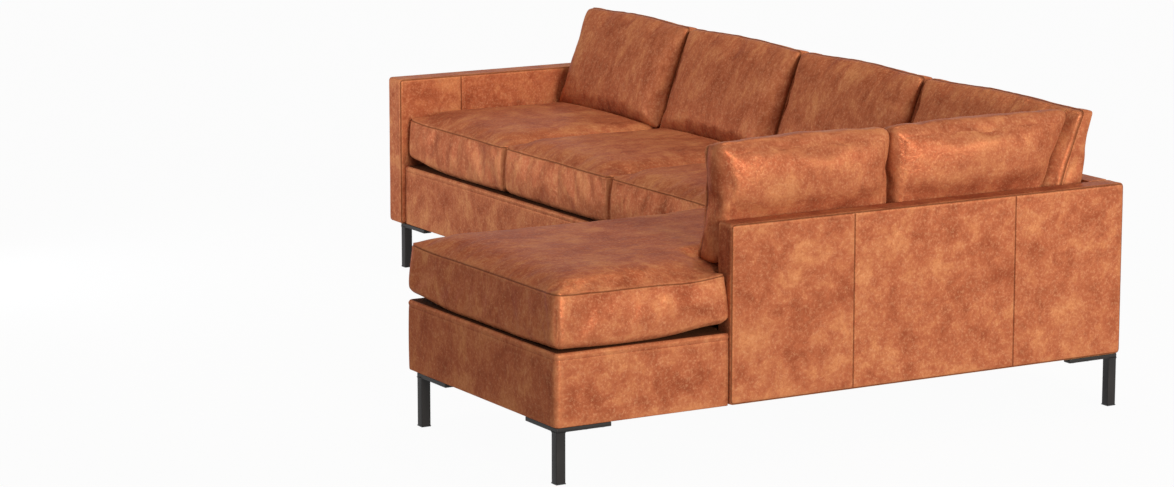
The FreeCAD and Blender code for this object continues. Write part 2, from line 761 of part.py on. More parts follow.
arm_cover, arm_foam, arm_board = upholster(
    "arm", ("Places.x_left", "Places.y_arm", UNDER),
    ("Sizes.arm_thickness", "Sizes.main_depth"), {"x": FREE, "y": FREE}, main_holes)
main_cover, main_foam, main_board = upholster(
    "main_back", ("Places.x_arm", "Places.y_back", UNDER),
    ("Places.x_joint - Places.x_arm", "Sizes.back_thickness"), {"x": BOUND, "y": FREE}, main_holes)
rear_cover, rear_foam, rear_board = upholster(
    "rear_back", ("Places.x_return", "Places.y_back", UNDER),
    ("Places.x_side_back - Places.x_return", "Sizes.back_thickness"), {"x": BOUND, "y": FREE},
    return_holes)
side_cover, side_foam, side_board = upholster(
    "side_back", ("Places.x_side_back", "Places.y_side_back", UNDER),
    ("Sizes.back_thickness", "Places.y_rear - Places.y_side_back"), {"x": FREE, "y": FREE},
    return_holes)
keep(arm_cover, "arm_cover")
keep(main_cover, "main_back_cover")
keep(rear_cover, "return_rear_back_cover")
keep(side_cover, "return_side_back_cover")
keep(group("main_foams", [arm_foam, main_foam]), "main_frame_padding")
keep(group("return_foams", [rear_foam, side_foam]), "return_frame_padding")
keep(arm_board, "arm_panel")
keep(main_board, "main_back_panel")
keep(group("return_boards", [rear_board, side_board]), "return_back_panels")


# Loose cushions. A section is a polygon in plan with bowed sides and rounded corners; a cushion is a
# loft through sections that swell from its seams to the flat middle of its crown.

# Rise and reach of the crown's sections, as shares of its full height and reach.
CROWN_SHARES = [(0.30, 0.08), (0.56, 0.21), (0.78, 0.41), (0.93, 0.68), (1.0, 1.0)]
# Sections of a rounded edge, as shares of its radius: depth below the side's start, and reach outwards.
FOOT_SHARES = [(1.0, 0.0), (0.71, 0.71), (0.0, 1.0)]
# Share of the reach from which a back cushion's sections bulge instead of being drawn in.
BULGE_SHARE = 0.5


def moved_in(corners, inset):
    """The polygon with every side moved inwards by the same distance."""
    result = []
    count = len(corners)
    for number in range(count):
        here = V(*corners[number], 0)
        before = (here - V(*corners[number - 1], 0)).normalize()
        after = (V(*corners[(number + 1) % count], 0) - here).normalize()
        inwards_before = V(-before.y, before.x, 0)
        inwards_after = V(-after.y, after.x, 0)
        lean = 1 + inwards_before.dot(inwards_after)
        shifted = here + (inwards_before + inwards_after) * (inset / lean)
        result.append((shifted.x, shifted.y))
    return result


def section(corners, inset, bows, radius, to_space):
    """Closed wire of one arc per side and one per corner. bows holds one outward bow per side, where
    0 stands for a straight side. An inside corner has a smaller radius than the others."""
    points = [V(*corner, 0) for corner in moved_in(corners, inset)]
    count = len(points)
    rounded = []
    for number, point in enumerate(points):
        back = (points[number - 1] - point).normalize()
        forth = (points[(number + 1) % count] - point).normalize()
        reach = size("notch_radius") if back.cross(forth).z > 0 else radius
        half_angle = back.getAngle(forth) / 2
        middle_way = (back + forth).normalize()
        centre = point + middle_way * (reach / math.cos(half_angle))
        middle = centre - middle_way * (reach * math.tan(half_angle))
        rounded.append((point + back * reach, middle, point + forth * reach))
    edges = []
    for number in range(count):
        start, middle, end = rounded[number]
        edges.append(arc(to_space(start), to_space(middle), to_space(end)))
        next_start = rounded[(number + 1) % count][0]
        way = (next_start - end).normalize()
        if bows[number]:
            bowed = (end + next_start) / 2 + V(way.y, -way.x, 0) * bows[number]
            edges.append(arc(to_space(end), to_space(bowed), to_space(next_start)))
        else:
            edges.append(Part.makeLine(to_space(end), to_space(next_start)))
    return Part.Wire(edges)


def side_bows(corners, bow):
    """The bow of each side in proportion to its length."""
    count = len(corners)
    lengths = [math.dist(corners[number], corners[(number + 1) % count]) for number in range(count)]
    return [bow * length / max(lengths) for length in lengths]


def seat_form(corners, skin):
    """Seat cushion: rounded foot, straight boxing, seams drawn in between corners, crowned top."""
    foot = size("seat_round")
    top = size("seat_thickness")
    radius = size("seat_corner_radius")
    draw = side_bows(corners, -size("seat_draw"))
    straight = side_bows(corners, -size("seat_slack"))

    def at(height):
        return lambda point: V(point.x, point.y, height)

    wires = [section(corners, foot * (1 - reach) + skin, draw, radius, at(foot * (1 - rise) + skin))
             for rise, reach in FOOT_SHARES]
    wires.append(section(corners, skin, straight, radius, at((foot + top) / 2)))
    wires.append(section(corners, skin, draw, radius, at(top - skin)))
    for rise, reach in CROWN_SHARES:
        inset = reach * size("seat_crown_reach") + skin
        wires.append(section(corners, inset, draw, radius, at(top - skin + rise * size("seat_crown"))))
    return Part.makeLoft(wires, True, True)


def back_form(corners, skin, lean):
    """Back cushion, upright in its own frame: corners hold places across and up, the rear leans back
    from the local X axis and the front is crowned. The foot is flat and the top edge bows up."""
    top = size("cushion_height")
    foot = size("cushion_foot")
    head = size("cushion_head")
    slope = math.tan(math.radians(lean))
    radius = size("cushion_corner_radius")
    bows = side_bows(corners, -size("cushion_draw"))
    bulges = side_bows(corners, size("cushion_draw"))
    for row in (bows, bulges):
        row[0] = 0
        row[2] = size("cushion_rise")

    def at(share, shift):
        """Depth from the rear: a share of the local thickness, plus a shift."""
        def to_space(point):
            thickness = foot + (head - foot) * point.y / top
            return V(point.x, point.y * slope - share * thickness - shift, point.y)
        return to_space

    rounding = size("cushion_round")
    wires = [section(corners, rounding * (1 - reach) + skin, bows, radius,
                     at(0, rounding * (1 - rise) + skin)) for rise, reach in FOOT_SHARES]
    wires.append(section(corners, skin, bows, radius, at(1, -skin)))
    for rise, reach in CROWN_SHARES:
        inset = reach * size("cushion_crown_reach") + skin
        bend = bulges if reach > BULGE_SHARE else bows
        wires.append(section(corners, inset, bend, radius, at(1, rise * size("cushion_crown") - skin)))
    return Part.makeLoft(wires, True, True)


def cushion(label, form, origin, turn):
    """Cover and core of one cushion; form(skin) gives its shape, moved in by a skin."""
    shell = size("shell_thickness")
    outside = form(0)
    room = form(shell)
    core = form(shell + size("core_gap"))
    placement = FreeCAD.Placement(origin, FreeCAD.Rotation(V(0, 0, 1), turn))
    for name, shape in ((label + "_cover", outside.cut(room)), (label + "_core", core)):
        thing = doc.addObject("Part::Feature", name)
        thing.Shape = shape
        thing.Placement = placement
        keep(thing, name)


def seats():
    gap = size("cushion_gap")
    half_gap = gap / 2
    z = place("z_seat")
    front = place("y_base") + size("seat_setback")
    width = size("seat_width") - gap
    depth = place("y_back") - half_gap - front
    plan = [(0, 0), (width, 0), (width, depth), (0, depth)]
    for number in range(int(size("seat_count"))):
        corner = V(place("x_arm") + number * size("seat_width") + half_gap, front, z)
        cushion(f"seat_cushion_{number + 1}", lambda skin: seat_form(plan, skin), corner, 0)
    low_x = place("x_return") + half_gap
    inner = place("x_side_back") - half_gap - low_x
    corner_plan = [(0, 0), (inner, 0), (inner, width), (0, width)]
    cushion("corner_seat_cushion", lambda skin: seat_form(corner_plan, skin),
            V(low_x, place("y_split") + half_gap, z), 0)
    full = place("x_bumper") - low_x
    notch = place("y_bumper") - place("y_front") - half_gap
    length = place("y_split") - half_gap - place("y_front")
    bumper_plan = [(0, 0), (full, 0), (full, notch), (inner, notch), (inner, length), (0, length)]
    cushion("bumper_seat_cushion", lambda skin: seat_form(bumper_plan, skin),
            V(low_x, place("y_front"), z), 0)


def backs():
    gap = size("cushion_gap")
    half_gap = gap / 2
    top = size("cushion_height")

    def foot_of(wall, z, lean):
        """Where the rear foot of a cushion stands that leans on the rounded top edge of a back."""
        edge = size("cover_edge_radius")
        angle = math.radians(lean)
        climb = size("arm_height") - edge - z
        return wall + edge - (edge + size("rest_gap")) / math.cos(angle) - climb * math.tan(angle)

    lean = size("main_lean")
    z = place("z_main_cushion")
    rear = foot_of(place("y_back"), z, lean)
    width = size("seat_width") - gap
    plan = [(0, 0), (width, 0), (width, top), (0, top)]
    for number in range(int(size("seat_count"))):
        corner = V(place("x_arm") + number * size("seat_width") + half_gap, rear, z)
        cushion(f"back_cushion_{number + 1}", lambda skin: back_form(plan, skin, lean), corner, 0)
    low_x = place("x_return") + half_gap
    wide = place("x_side_back") - half_gap - low_x
    wide_plan = [(0, 0), (wide, 0), (wide, top), (0, top)]
    cushion("corner_back_cushion", lambda skin: back_form(wide_plan, skin, lean), V(low_x, rear, z), 0)

    side_lean = size("return_lean")
    z = place("z_return_cushion")
    side = foot_of(place("x_side_back"), z, side_lean)
    front_foot = rear - size("cushion_foot") - size("cushion_crown") - size("corner_clearance")
    slope = math.tan(math.radians(lean)) + (size("cushion_foot") - size("cushion_head")) / top
    shift = slope * top
    split = place("y_split")
    long_top = front_foot + shift - split - half_gap
    slanted = [(shift, 0), (long_top, 0), (long_top, top), (0, top)]
    cushion("return_back_cushion_2", lambda skin: back_form(slanted, skin, side_lean),
            V(side, front_foot + shift, z), -90)
    first = split - half_gap - place("y_side_back") - size("cushion_end_gap")
    end_plan = [(0, 0), (first, 0), (first, top), (0, top)]
    cushion("return_back_cushion_1", lambda skin: back_form(end_plan, skin, side_lean),
            V(side, split - half_gap, z), -90)


seats()
backs()
doc.recompute()

for thing in doc.Objects:
    if "Invalid" in thing.State or "Error" in thing.State:
        raise RuntimeError(f"{thing.Label} could not be made")

os.makedirs("parts", exist_ok=True)
for thing in subparts:
    if thing.Shape.isNull() or not thing.Shape.isValid():
        raise RuntimeError(f"{thing.Label} has no valid shape")
    thing.Shape.exportStep(f"parts/{thing.Label}.step")
print(len(subparts), "sub-parts written")
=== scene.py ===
import math
from collections import namedtuple

import bpy
import numpy as np
from bpy.props import FloatProperty, FloatVectorProperty, IntProperty, PointerProperty
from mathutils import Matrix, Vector


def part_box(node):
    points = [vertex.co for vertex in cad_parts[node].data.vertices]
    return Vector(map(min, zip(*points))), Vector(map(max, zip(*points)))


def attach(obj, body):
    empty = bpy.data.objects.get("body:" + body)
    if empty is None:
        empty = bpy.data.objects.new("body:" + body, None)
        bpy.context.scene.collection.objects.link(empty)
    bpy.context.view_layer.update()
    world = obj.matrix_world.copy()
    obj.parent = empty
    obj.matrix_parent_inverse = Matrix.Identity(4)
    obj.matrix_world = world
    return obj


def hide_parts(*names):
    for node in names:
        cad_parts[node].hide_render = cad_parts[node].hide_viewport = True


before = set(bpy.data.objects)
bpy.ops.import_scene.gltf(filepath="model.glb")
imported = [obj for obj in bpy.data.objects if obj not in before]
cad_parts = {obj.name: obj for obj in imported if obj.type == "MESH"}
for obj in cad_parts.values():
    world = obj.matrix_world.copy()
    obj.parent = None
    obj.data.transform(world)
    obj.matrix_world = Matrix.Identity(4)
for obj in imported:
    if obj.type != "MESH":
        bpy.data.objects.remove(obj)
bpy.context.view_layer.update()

bl_info = {
    "name": "Sectional sofa",
    "version": (1, 0, 0),
    "blender": (4, 5, 0),
    "location": "View3D > Sidebar > Sofa",
    "description": "Dresses an L-shaped leather sectional sofa around its packed frame",
    "category": "Add Mesh",
}

MM = 0.001


def linear(colour):
    """An sRGB hex colour as linear red, green and blue."""
    parts = [int(colour[place:place + 2], 16) / 255 for place in (1, 3, 5)]
    return tuple(p / 12.92 if p <= 0.04045 else ((p + 0.055) / 1.055) ** 2.4 for p in parts)


def colour_property(name, description, colour):
    """A setting that holds a colour, given as sRGB hex."""
    return FloatVectorProperty(name=name, description=description, default=linear(colour),
                               size=3, min=0, max=1, subtype="COLOR")


def length_property(name, description, millimetres):
    """A setting that holds a length."""
    return FloatProperty(name=name, description=description, default=millimetres * MM,
                         subtype="DISTANCE", unit="LENGTH", precision=4)


def low(node, axis):
    """The least place of a CAD node along an axis."""
    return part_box(node)[0][axis]


def high(node, axis):
    """The greatest place of a CAD node along an axis."""
    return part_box(node)[1][axis]


X_LEFT, X_ARM = low("arm_cover", 0), high("arm_cover", 0)
X_JOINT = high("main_back_cover", 0)
X_RETURN, X_BUMPER = low("return_base_cover", 0), high("return_base_cover", 0)
X_SIDE, X_RIGHT = low("return_side_back_cover", 0), high("return_side_back_cover", 0)
Y_FRONT, Y_SIDE = low("return_base_cover", 1), low("return_side_back_cover", 1)
Y_BUMPER = -388.5 * MM  # 1 mm before the end of the side back
Y_ARM, Y_BASE = low("arm_cover", 1), low("main_base_cover", 1)
Y_BACK, Y_REAR = low("main_back_cover", 1), high("main_back_cover", 1)
Z_UNDER, Z_DECK = low("main_base_cover", 2), high("main_base_cover", 2)
Z_ARM = high("arm_cover", 2)
MAIN_LEAN, RETURN_LEAN = math.radians(15), math.radians(5)
BACK_FRONT = low("back_cushion_1_cover", 1)
SIDE_FRONT = low("return_back_cushion_1_cover", 0)
Z_MAIN_BACKS = low("back_cushion_1_cover", 2)
Z_SIDE_BACKS = low("return_back_cushion_1_cover", 2)
BAND = 8 * MM  # thickness of the padded band round a base


class LeatherSettings(bpy.types.PropertyGroup):
    base: colour_property("Base", "Main colour of the leather", "#af6444")
    light: colour_property("Light", "Colour where the leather is pulled up and pale", "#c68156")
    dark: colour_property("Dark", "Colour of the dark clouds", "#944d33")
    fleck: colour_property("Fleck", "Colour of the fine pale flecks", "#dca379")
    # Highlight: colour of a highlight painted on the bent edges and crowns of the leather
    highlighted: colour_property("Highlight", "Colour of edges that are rubbed and stretched", "#c98358")
    # Seam: colour of the dark thread, and of the shade painted into the seam's groove
    thread: colour_property("Seam", "Colour in the depth of a seam", "#4a2413")
    cloud: length_property("Cloud size", "Size of the broad clouds", 120)
    grain: length_property("Grain size", "Size of one pebble of the grain", 2.4)
    roughness: FloatProperty(name="Roughness", description="Middle roughness of the finish",
                             default=0.38, min=0, max=1, subtype="FACTOR")


class CushionSettings(bpy.types.PropertyGroup):
    cell: length_property("Cell", "Largest cell of a cushion's grid", 15)
    groove: length_property("Seam depth", "How deep the seams lie", 1.5)
    pucker: length_property("Pucker", "Height of the small folds beside the seams", 0.9)
    seat_bulge: length_property("Seat side bulge", "How far a seat's boxing stands out", 9)
    back_bulge: length_property("Back side bulge", "How far a back cushion's boxing stands out", 7)
    swell: length_property("Swell limit", "Most that the simulation may move a point", 26)
    slack: FloatProperty(name="Slack", description="Share of the simulated folds that stays",
                         default=0.4, min=0, max=1, subtype="FACTOR")
    pressure: FloatProperty(name="Pressure", default=4, min=0,
                            description="Pressure of the filling in the simulation")
    frames: IntProperty(name="Frames", description="Frames of the simulation", default=20, min=1)


class FrameSettings(bpy.types.PropertyGroup):
    puff: length_property("Panel puff", "How far a padded panel stands out of its seams", 4)
    edge: length_property("Panel edge", "Width of a padded panel's rounding", 30)
    roll: length_property("Rolled edge", "Height of the rolled top edge of the base", 12)
    stitch_drop: length_property("Stitch line", "Base top to its line of stitches", 18)
    paint: colour_property("Leg paint", "Colour of the powder coat", "#201d1c")


class StageSettings(bpy.types.PropertyGroup):
    floor: colour_property("Floor", "Colour of the floor and backdrop", "#cdcdcd")
    key: FloatProperty(name="Key light", description="Strength of the soft key light", default=2.45,
                       min=0)
    fill: FloatProperty(name="Fill light", description="Power of the fill light", default=16,
                        min=0, subtype="POWER", unit="POWER")
    sky: FloatProperty(name="Ambient", description="Strength of the ambient light", default=0.24,
                       min=0)
    top: FloatProperty(name="Top light", description="Power of the light overhead", default=26,
                       min=0, subtype="POWER", unit="POWER")
    side: FloatProperty(name="Side light", description="Power of the light beside the return",
                        default=15, min=0, subtype="POWER", unit="POWER")
    lens: FloatProperty(name="Focal length", description="Focal length of the camera",
                        default=114.31, unit="CAMERA")


# Multipliers and sums that scatter the number of a cell, and the bits that are kept
SPREAD, STEP, SALT, STIR = 1103515245, 12345, 977, 1274126177
SEED_STEP, KEPT_BITS, LAST_BITS = 7919, 0x7FFFFFFF, 0xFFFF
LATTICE_SHIFT = 1000.5  # keeps the lattice's numbers positive


def noise(points, spacing, seed):
    """Value noise from -1 to 1: random values at the corners of a lattice of the given spacing,
    blended inside each cell by the smooth step 3t^2 - 2t^3 along each axis."""
    places = np.asarray(points, dtype=float) / spacing + LATTICE_SHIFT
    cell = np.floor(places).astype(np.int64)
    part = smooth(places - cell)
    total = np.zeros(places.shape[:-1])
    for corner in range(2 ** places.shape[-1]):
        index = np.full(places.shape[:-1], seed * SEED_STEP, dtype=np.int64)
        weight = np.ones(places.shape[:-1])
        for axis in range(places.shape[-1]):
            side = corner >> axis & 1
            index = index * SPREAD + (cell[..., axis] + side) * STEP + SALT & KEPT_BITS
            weight *= part[..., axis] if side else 1 - part[..., axis]
        index ^= index >> 13
        index = index * STIR & KEPT_BITS
        index ^= index >> 16
        total += weight * ((index & LAST_BITS) / (LAST_BITS / 2) - 1)
    return total


FINE = np.array([0, 2, 4.5, 9, 16]) * MM  # places of the close lines beside a seam


def grid_lines(stops, step):
    """Grid lines from the first stop to the last: a line at every stop, close lines on both sides
    of it, and lines at most one step apart between."""
    lines = [stops[0]]
    for start, end in zip(stops[:-1], stops[1:]):
        fine = FINE[FINE < (end - start) / 2.5]
        first, last = start + fine[-1], end - fine[-1]
        count = max(1, round((last - first) / step))
        lines += list(start + fine[1:]) + list(np.linspace(first, last, count + 1)[1:-1])
        lines += list(end - fine[::-1])
    return np.array(lines)


def smooth(value):
    """The smooth step 3t^2 - 2t^3, held at 0 and 1 outside its range."""
    value = np.clip(value, 0, 1)
    return value * value * (3 - 2 * value)


NOTCH_SHARE = 0.35  # radius beside a notch, as a share of the other corners'
LEAST_RADIUS = 0.3  # share of its radius that a corner keeps however far it is moved in
ROUND_OFF = 1.0001
SIDES = 4
EDGE_OPENING = 0.55  # a seam on an edge gapes, so its distance counts as less
NO_SEAM = 0.1  # metres; far enough from a seam to show nothing of it


class Plan:
    """A panel in its own plane: a rectangle of width by height, or an L where notch gives the
    corner of what is missing. Its corners are rounded, its sides drawn in along parabolas, and
    slant leans the start of each row by a share of the height that is still above it."""

    def __init__(self, width, height, radius, step, notch=None, draws=(0, 0, 0, 0), slant=0,
                 cross=()):
        self.width, self.height, self.radius, self.notch = width, height, radius, notch
        self.draws, self.slant, self.cross = draws, slant, cross
        stops_x, stops_y = [0, width, *cross], [0, height]
        if notch:
            stops_x.append(notch[0])
            stops_y.append(notch[1])
        self.xs = grid_lines(sorted(stops_x), step)
        self.ys = grid_lines(sorted(stops_y), step)
        columns, rows = len(self.xs), len(self.ys)
        self.index = np.arange(columns * rows).reshape(rows, columns)
        self.used = np.ones((rows - 1, columns - 1), dtype=bool)
        if notch:
            column = int(np.argmin(abs(self.xs - notch[0])))
            row = int(np.argmin(abs(self.ys - notch[1])))
            self.used[row:, column:] = False
            ring = [self.index[0, :-1], self.index[:row, -1], self.index[row, :column:-1],
                    self.index[row:-1, column], self.index[-1, column:0:-1], self.index[:0:-1, 0]]
        else:
            ring = [self.index[0, :-1], self.index[:-1, -1], self.index[-1, :0:-1],
                    self.index[:0:-1, 0]]
        self.ring = np.concatenate(ring)

    def at(self, inset):
        """Places of the grid with every side moved in by the inset. At each corner a square of the
        corner radius becomes a quarter disc: a' = a sqrt(1 - b^2 / 2), b' = b sqrt(1 - a^2 / 2)."""
        knots_x, moved_x = [0, self.width], [inset, self.width - inset]
        knots_y, moved_y = [0, self.height], [inset, self.height - inset]
        if self.notch:
            knots_x.insert(1, self.notch[0])
            moved_x.insert(1, self.notch[0] - inset)
            knots_y.insert(1, self.notch[1])
            moved_y.insert(1, self.notch[1] - inset)
        x, y = np.meshgrid(np.interp(self.xs, knots_x, moved_x),
                           np.interp(self.ys, knots_y, moved_y))
        full = max(self.radius - inset, LEAST_RADIUS * self.radius)
        right, top = self.width - inset, self.height - inset
        corners = [(inset, inset, 1, 1), (right, inset, -1, 1), (inset, top, 1, -1)]
        if self.notch:
            notch_x, notch_y = self.notch
            corners += [(notch_x - inset, top, -1, -1), (right, notch_y - inset, -1, -1)]
        else:
            corners.append((right, top, -1, -1))
        for corner_x, corner_y, way_x, way_y in corners:
            beside = self.notch and corner_x == right and way_y < 0
            radius = full * NOTCH_SHARE if beside else full
            a = 1 - (x - corner_x) * way_x / radius
            b = 1 - (y - corner_y) * way_y / radius
            near = (a > 0) & (b > 0) & (a <= ROUND_OFF) & (b <= ROUND_OFF)
            bent_a = a * np.sqrt(1 - np.clip(b, 0, 1) ** 2 / 2)
            bent_b = b * np.sqrt(1 - np.clip(a, 0, 1) ** 2 / 2)
            x = np.where(near, corner_x + way_x * radius * (1 - bent_a), x)
            y = np.where(near, corner_y + way_y * radius * (1 - bent_b), y)
        across, up = x / self.width, y / self.height
        bottom, right_draw, top_draw, left = self.draws
        y = y + bottom * 4 * across * (1 - across) * np.clip(1 - 2 * up, 0, 1)
        y = y - top_draw * 4 * across * (1 - across) * np.clip(2 * up - 1, 0, 1)
        x = x + left * 4 * up * (1 - up) * np.clip(1 - 2 * across, 0, 1)
        x = x - right_draw * 4 * up * (1 - up) * np.clip(2 * across - 1, 0, 1)
        if self.slant:
            x = x + self.slant * (1 - up) * (1 - across)
        return np.stack([x, y], axis=-1).reshape(-1, 2)

    def distances(self):
        """Distance from each grid place to every side, and to every seam across the panel."""
        x, y = np.meshgrid(self.xs, self.ys)
        result = [x, y]
        if self.notch:
            notch_x, notch_y = self.notch
            result.append(np.hypot(self.width - x, np.maximum(y - notch_y, 0)))
            result.append(np.hypot(self.height - y, np.maximum(x - notch_x, 0)))
            result.append(np.where(y >= notch_y, notch_x - x,
                                   np.where(x >= notch_x, notch_y - y,
                                            np.hypot(notch_x - x, notch_y - y))))
        else:
            result += [self.width - x, self.height - y]
        result += [abs(x - seam) for seam in self.cross]
        return np.maximum(np.stack(result).reshape(len(result), -1), 0)

    def panel_numbers(self):
        """Number of the panel that each used cell of the grid belongs to."""
        middle = (self.xs[:-1] + self.xs[1:]) / 2
        column = np.searchsorted(np.sort(self.cross), middle)
        return np.tile(column, (len(self.ys) - 1, 1))[self.used]

    def cells(self):
        """Corner indices of the used cells, anticlockwise in the plane."""
        index = self.index
        cells = np.stack([index[:-1, :-1], index[:-1, 1:], index[1:, 1:], index[1:, :-1]], axis=-1)
        return cells[self.used]


def crown(plan, reach):
    """Share of the crown's height at each grid place: 1 - (1 - t)^2.2, raised to 0.62, where t is
    the soft least distance to the seams over the reach. It is steep at a seam and flat in the
    middle."""
    distance = plan.distances() + 1e-6
    soft = (distance ** -4).sum(axis=0) ** -0.25
    share = np.clip(soft / reach, 0, 1)
    return (1 - (1 - share) ** 2.2) ** 0.62


REAR_PANEL, BOXING_PANEL = 50, 100  # numbers that tell the panels of a cover apart


class Pad:
    """A closed pad: a top panel, a band of rows round it and a bottom panel. All of it is kept in
    the pad's own frame, where x and y lie in the panel and z is up from the bottom panel."""

    def __init__(self, plan, rows, top, bottom, boxed=False, depth=1):
        """rows holds the inset and the height of each ring from the top seam to the bottom seam.
        top and bottom hold the height of each grid place above or below its seam's ring. depth is
        the length that stands for a height of 1."""
        self.plan, self.rows, self.boxed, self.depth = plan, rows, boxed, depth
        ring, size, cells = plan.ring, plan.index.size, plan.cells()
        count = len(ring)
        levels = [np.column_stack([plan.at(rows[0][0]), rows[0][1] + top]),
                  np.column_stack([plan.at(rows[-1][0]), rows[-1][1] - bottom])]
        loops = [ring]
        for number, (inset, height) in enumerate(rows[1:-1]):
            levels.append(np.column_stack([plan.at(inset)[ring], np.full(count, height)]))
            loops.append(2 * size + number * count + np.arange(count))
        loops.append(ring + size)
        points = np.concatenate(levels)
        numbers = plan.panel_numbers()
        faces = [cells, cells[:, ::-1] + size]
        panels = [numbers, numbers + REAR_PANEL]
        for above, below in zip(loops[:-1], loops[1:]):
            faces.append(np.stack([above, below, np.roll(below, -1), np.roll(above, -1)], axis=-1))
            panels.append(np.full(count, BOXING_PANEL))
        faces = np.concatenate(faces)
        kept = np.unique(faces)
        renumber = np.full(len(points), -1)
        renumber[kept] = np.arange(len(kept))
        self.points, self.faces = points[kept], renumber[faces]
        self.panels = np.concatenate(panels)
        self.seam = self.seam_distance()[kept]

    def seam_distance(self):
        """Distance along the surface from each point to the nearest seam, in metres. Only a boxed
        pad has a seam round its bottom panel."""
        count = len(self.plan.ring)
        away = self.plan.distances()
        opening = EDGE_OPENING if self.boxed else 1
        away[:SIDES] *= opening
        on_panel = away.min(axis=0)
        heights = np.array([row[1] for row in self.rows]) * self.depth
        insets = np.array([row[0] for row in self.rows])
        run = np.concatenate([[0], np.cumsum(np.hypot(np.diff(heights), np.diff(insets)))])
        near = np.minimum(run, run[-1] - run) if self.boxed else run
        below = on_panel if self.boxed else on_panel + NO_SEAM
        band = [np.full(count, value * opening) for value in near[1:-1]]
        return np.concatenate([on_panel, below, *band])


def outward(points, faces):
    """Unit normal of each point: the sum of the cross products of its faces' diagonals."""
    first = points[faces[:, 2]] - points[faces[:, 0]]
    second = points[faces[:, 3]] - points[faces[:, 1]]
    normal = np.cross(first, second)
    total = np.zeros_like(points)
    for corner in range(4):
        np.add.at(total, faces[:, corner], normal)
    return total / np.maximum(np.linalg.norm(total, axis=1, keepdims=True), 1e-12)


def make_mesh(name, points, faces, seam=None, panels=None, smooth_shading=True):
    """A mesh object from arrays, with the seam distance in millimetres and a number for each
    panel."""
    mesh = bpy.data.meshes.new(name)
    faces = faces.tolist() if isinstance(faces, np.ndarray) else faces
    mesh.from_pydata(np.asarray(points).tolist(), [], faces)
    if smooth_shading:
        mesh.polygons.foreach_set("use_smooth", np.ones(len(faces), dtype=bool))
    if seam is not None:
        layer = mesh.attributes.new("seam_mm", "FLOAT", "POINT")
        layer.data.foreach_set("value", np.asarray(seam, dtype=np.float32) / MM)
    if panels is not None:
        layer = mesh.attributes.new("hide", "FLOAT", "FACE")
        layer.data.foreach_set("value", np.asarray(panels, dtype=np.float32))
    mesh.validate()
    mesh.update()
    thing = bpy.data.objects.new(name, mesh)
    bpy.context.scene.collection.objects.link(thing)
    return thing


def read_points(thing, what="co"):
    """The place of each of a piece's points, or its normal."""
    flat = np.empty(len(thing.data.vertices) * 3)
    thing.data.vertices.foreach_get(what, flat)
    return flat.reshape(-1, 3)


def write_points(thing, points):
    """Moves a piece's points to the given places."""
    thing.data.vertices.foreach_set("co", np.asarray(points, dtype=np.float32).ravel())
    thing.data.update()


def apply_modifiers(thing):
    """Puts the modifiers' result into the mesh and takes the modifiers away."""
    graph = bpy.context.evaluated_depsgraph_get()
    mesh = bpy.data.meshes.new_from_object(thing.evaluated_get(graph))
    old = thing.data
    thing.modifiers.clear()
    thing.data = mesh
    bpy.data.meshes.remove(old)
    mesh.name = thing.name


def finish_piece(thing, material, body, slot, *nodes, fill=None):
    """Gives a piece its material and body, and hides the CAD nodes that it stands for.
    slot and fill are not used.
    """
    thing.data.materials.clear()
    thing.data.materials.append(material)
    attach(thing, body)
    if nodes:
        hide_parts(*nodes)


def rgba(colour):
    """A colour or a grey, opaque."""
    return (*colour, 1) if hasattr(colour, "__len__") else (colour, colour, colour, 1)


def add(tree, kind, inputs=None, output=0, stops=(), **settings):
    """Adds one node and gives one of its outputs. inputs holds a value or another node's output for
    each input, by name or number; stops are a ramp's positions and colours; settings are the node's
    own attributes."""
    node = tree.nodes.new(kind)
    for name, value in settings.items():
        setattr(node, name, value)
    for name, value in (inputs or {}).items():
        if isinstance(value, bpy.types.NodeSocket):
            tree.links.new(value, node.inputs[name])
        else:
            node.inputs[name].default_value = value
    if stops:
        points = node.color_ramp.elements
        while len(points) < len(stops):
            points.new(0.5)
        for point, (position, colour) in zip(points, stops):
            point.position, point.color = position, rgba(colour)
    return node.outputs[output]


# Sockets of a Mix node, whose names repeat: its factor, two numbers, two colours, the mixed colour
FACTOR, NUMBER_A, NUMBER_B, COLOUR_A, COLOUR_B, MIXED_COLOUR = 0, 2, 3, 6, 7, 2
MAIN_SHARE = 0.6  # share of the stronger one of two patterns


def new_material(name, colour, **values):
    """A material with its shader; values are the shader's own sockets."""
    material = bpy.data.materials.new(name)
    material.use_nodes = True
    tree = material.node_tree
    shader = tree.nodes["Principled BSDF"]
    shader.inputs["Base Color"].default_value = rgba(colour)
    for key, value in values.items():
        shader.inputs[key.replace("_", " ")].default_value = value
    material.diffuse_color = rgba(colour)
    return material, tree, shader


def dress(tree, shader, colour, height, strength, distance):
    """Links a colour to the shader, and a height as its bump."""
    bump = add(tree, "ShaderNodeBump",
               {"Height": height, "Strength": strength, "Distance": distance})
    tree.links.new(colour, shader.inputs["Base Color"])
    tree.links.new(bump, shader.inputs["Normal"])


HIDE_STEP = 3.7  # how far apart the patterns of two panels lie
SEAM_REACH = 12  # millimetres beside a seam over which dark thread and painted shade are mixed in
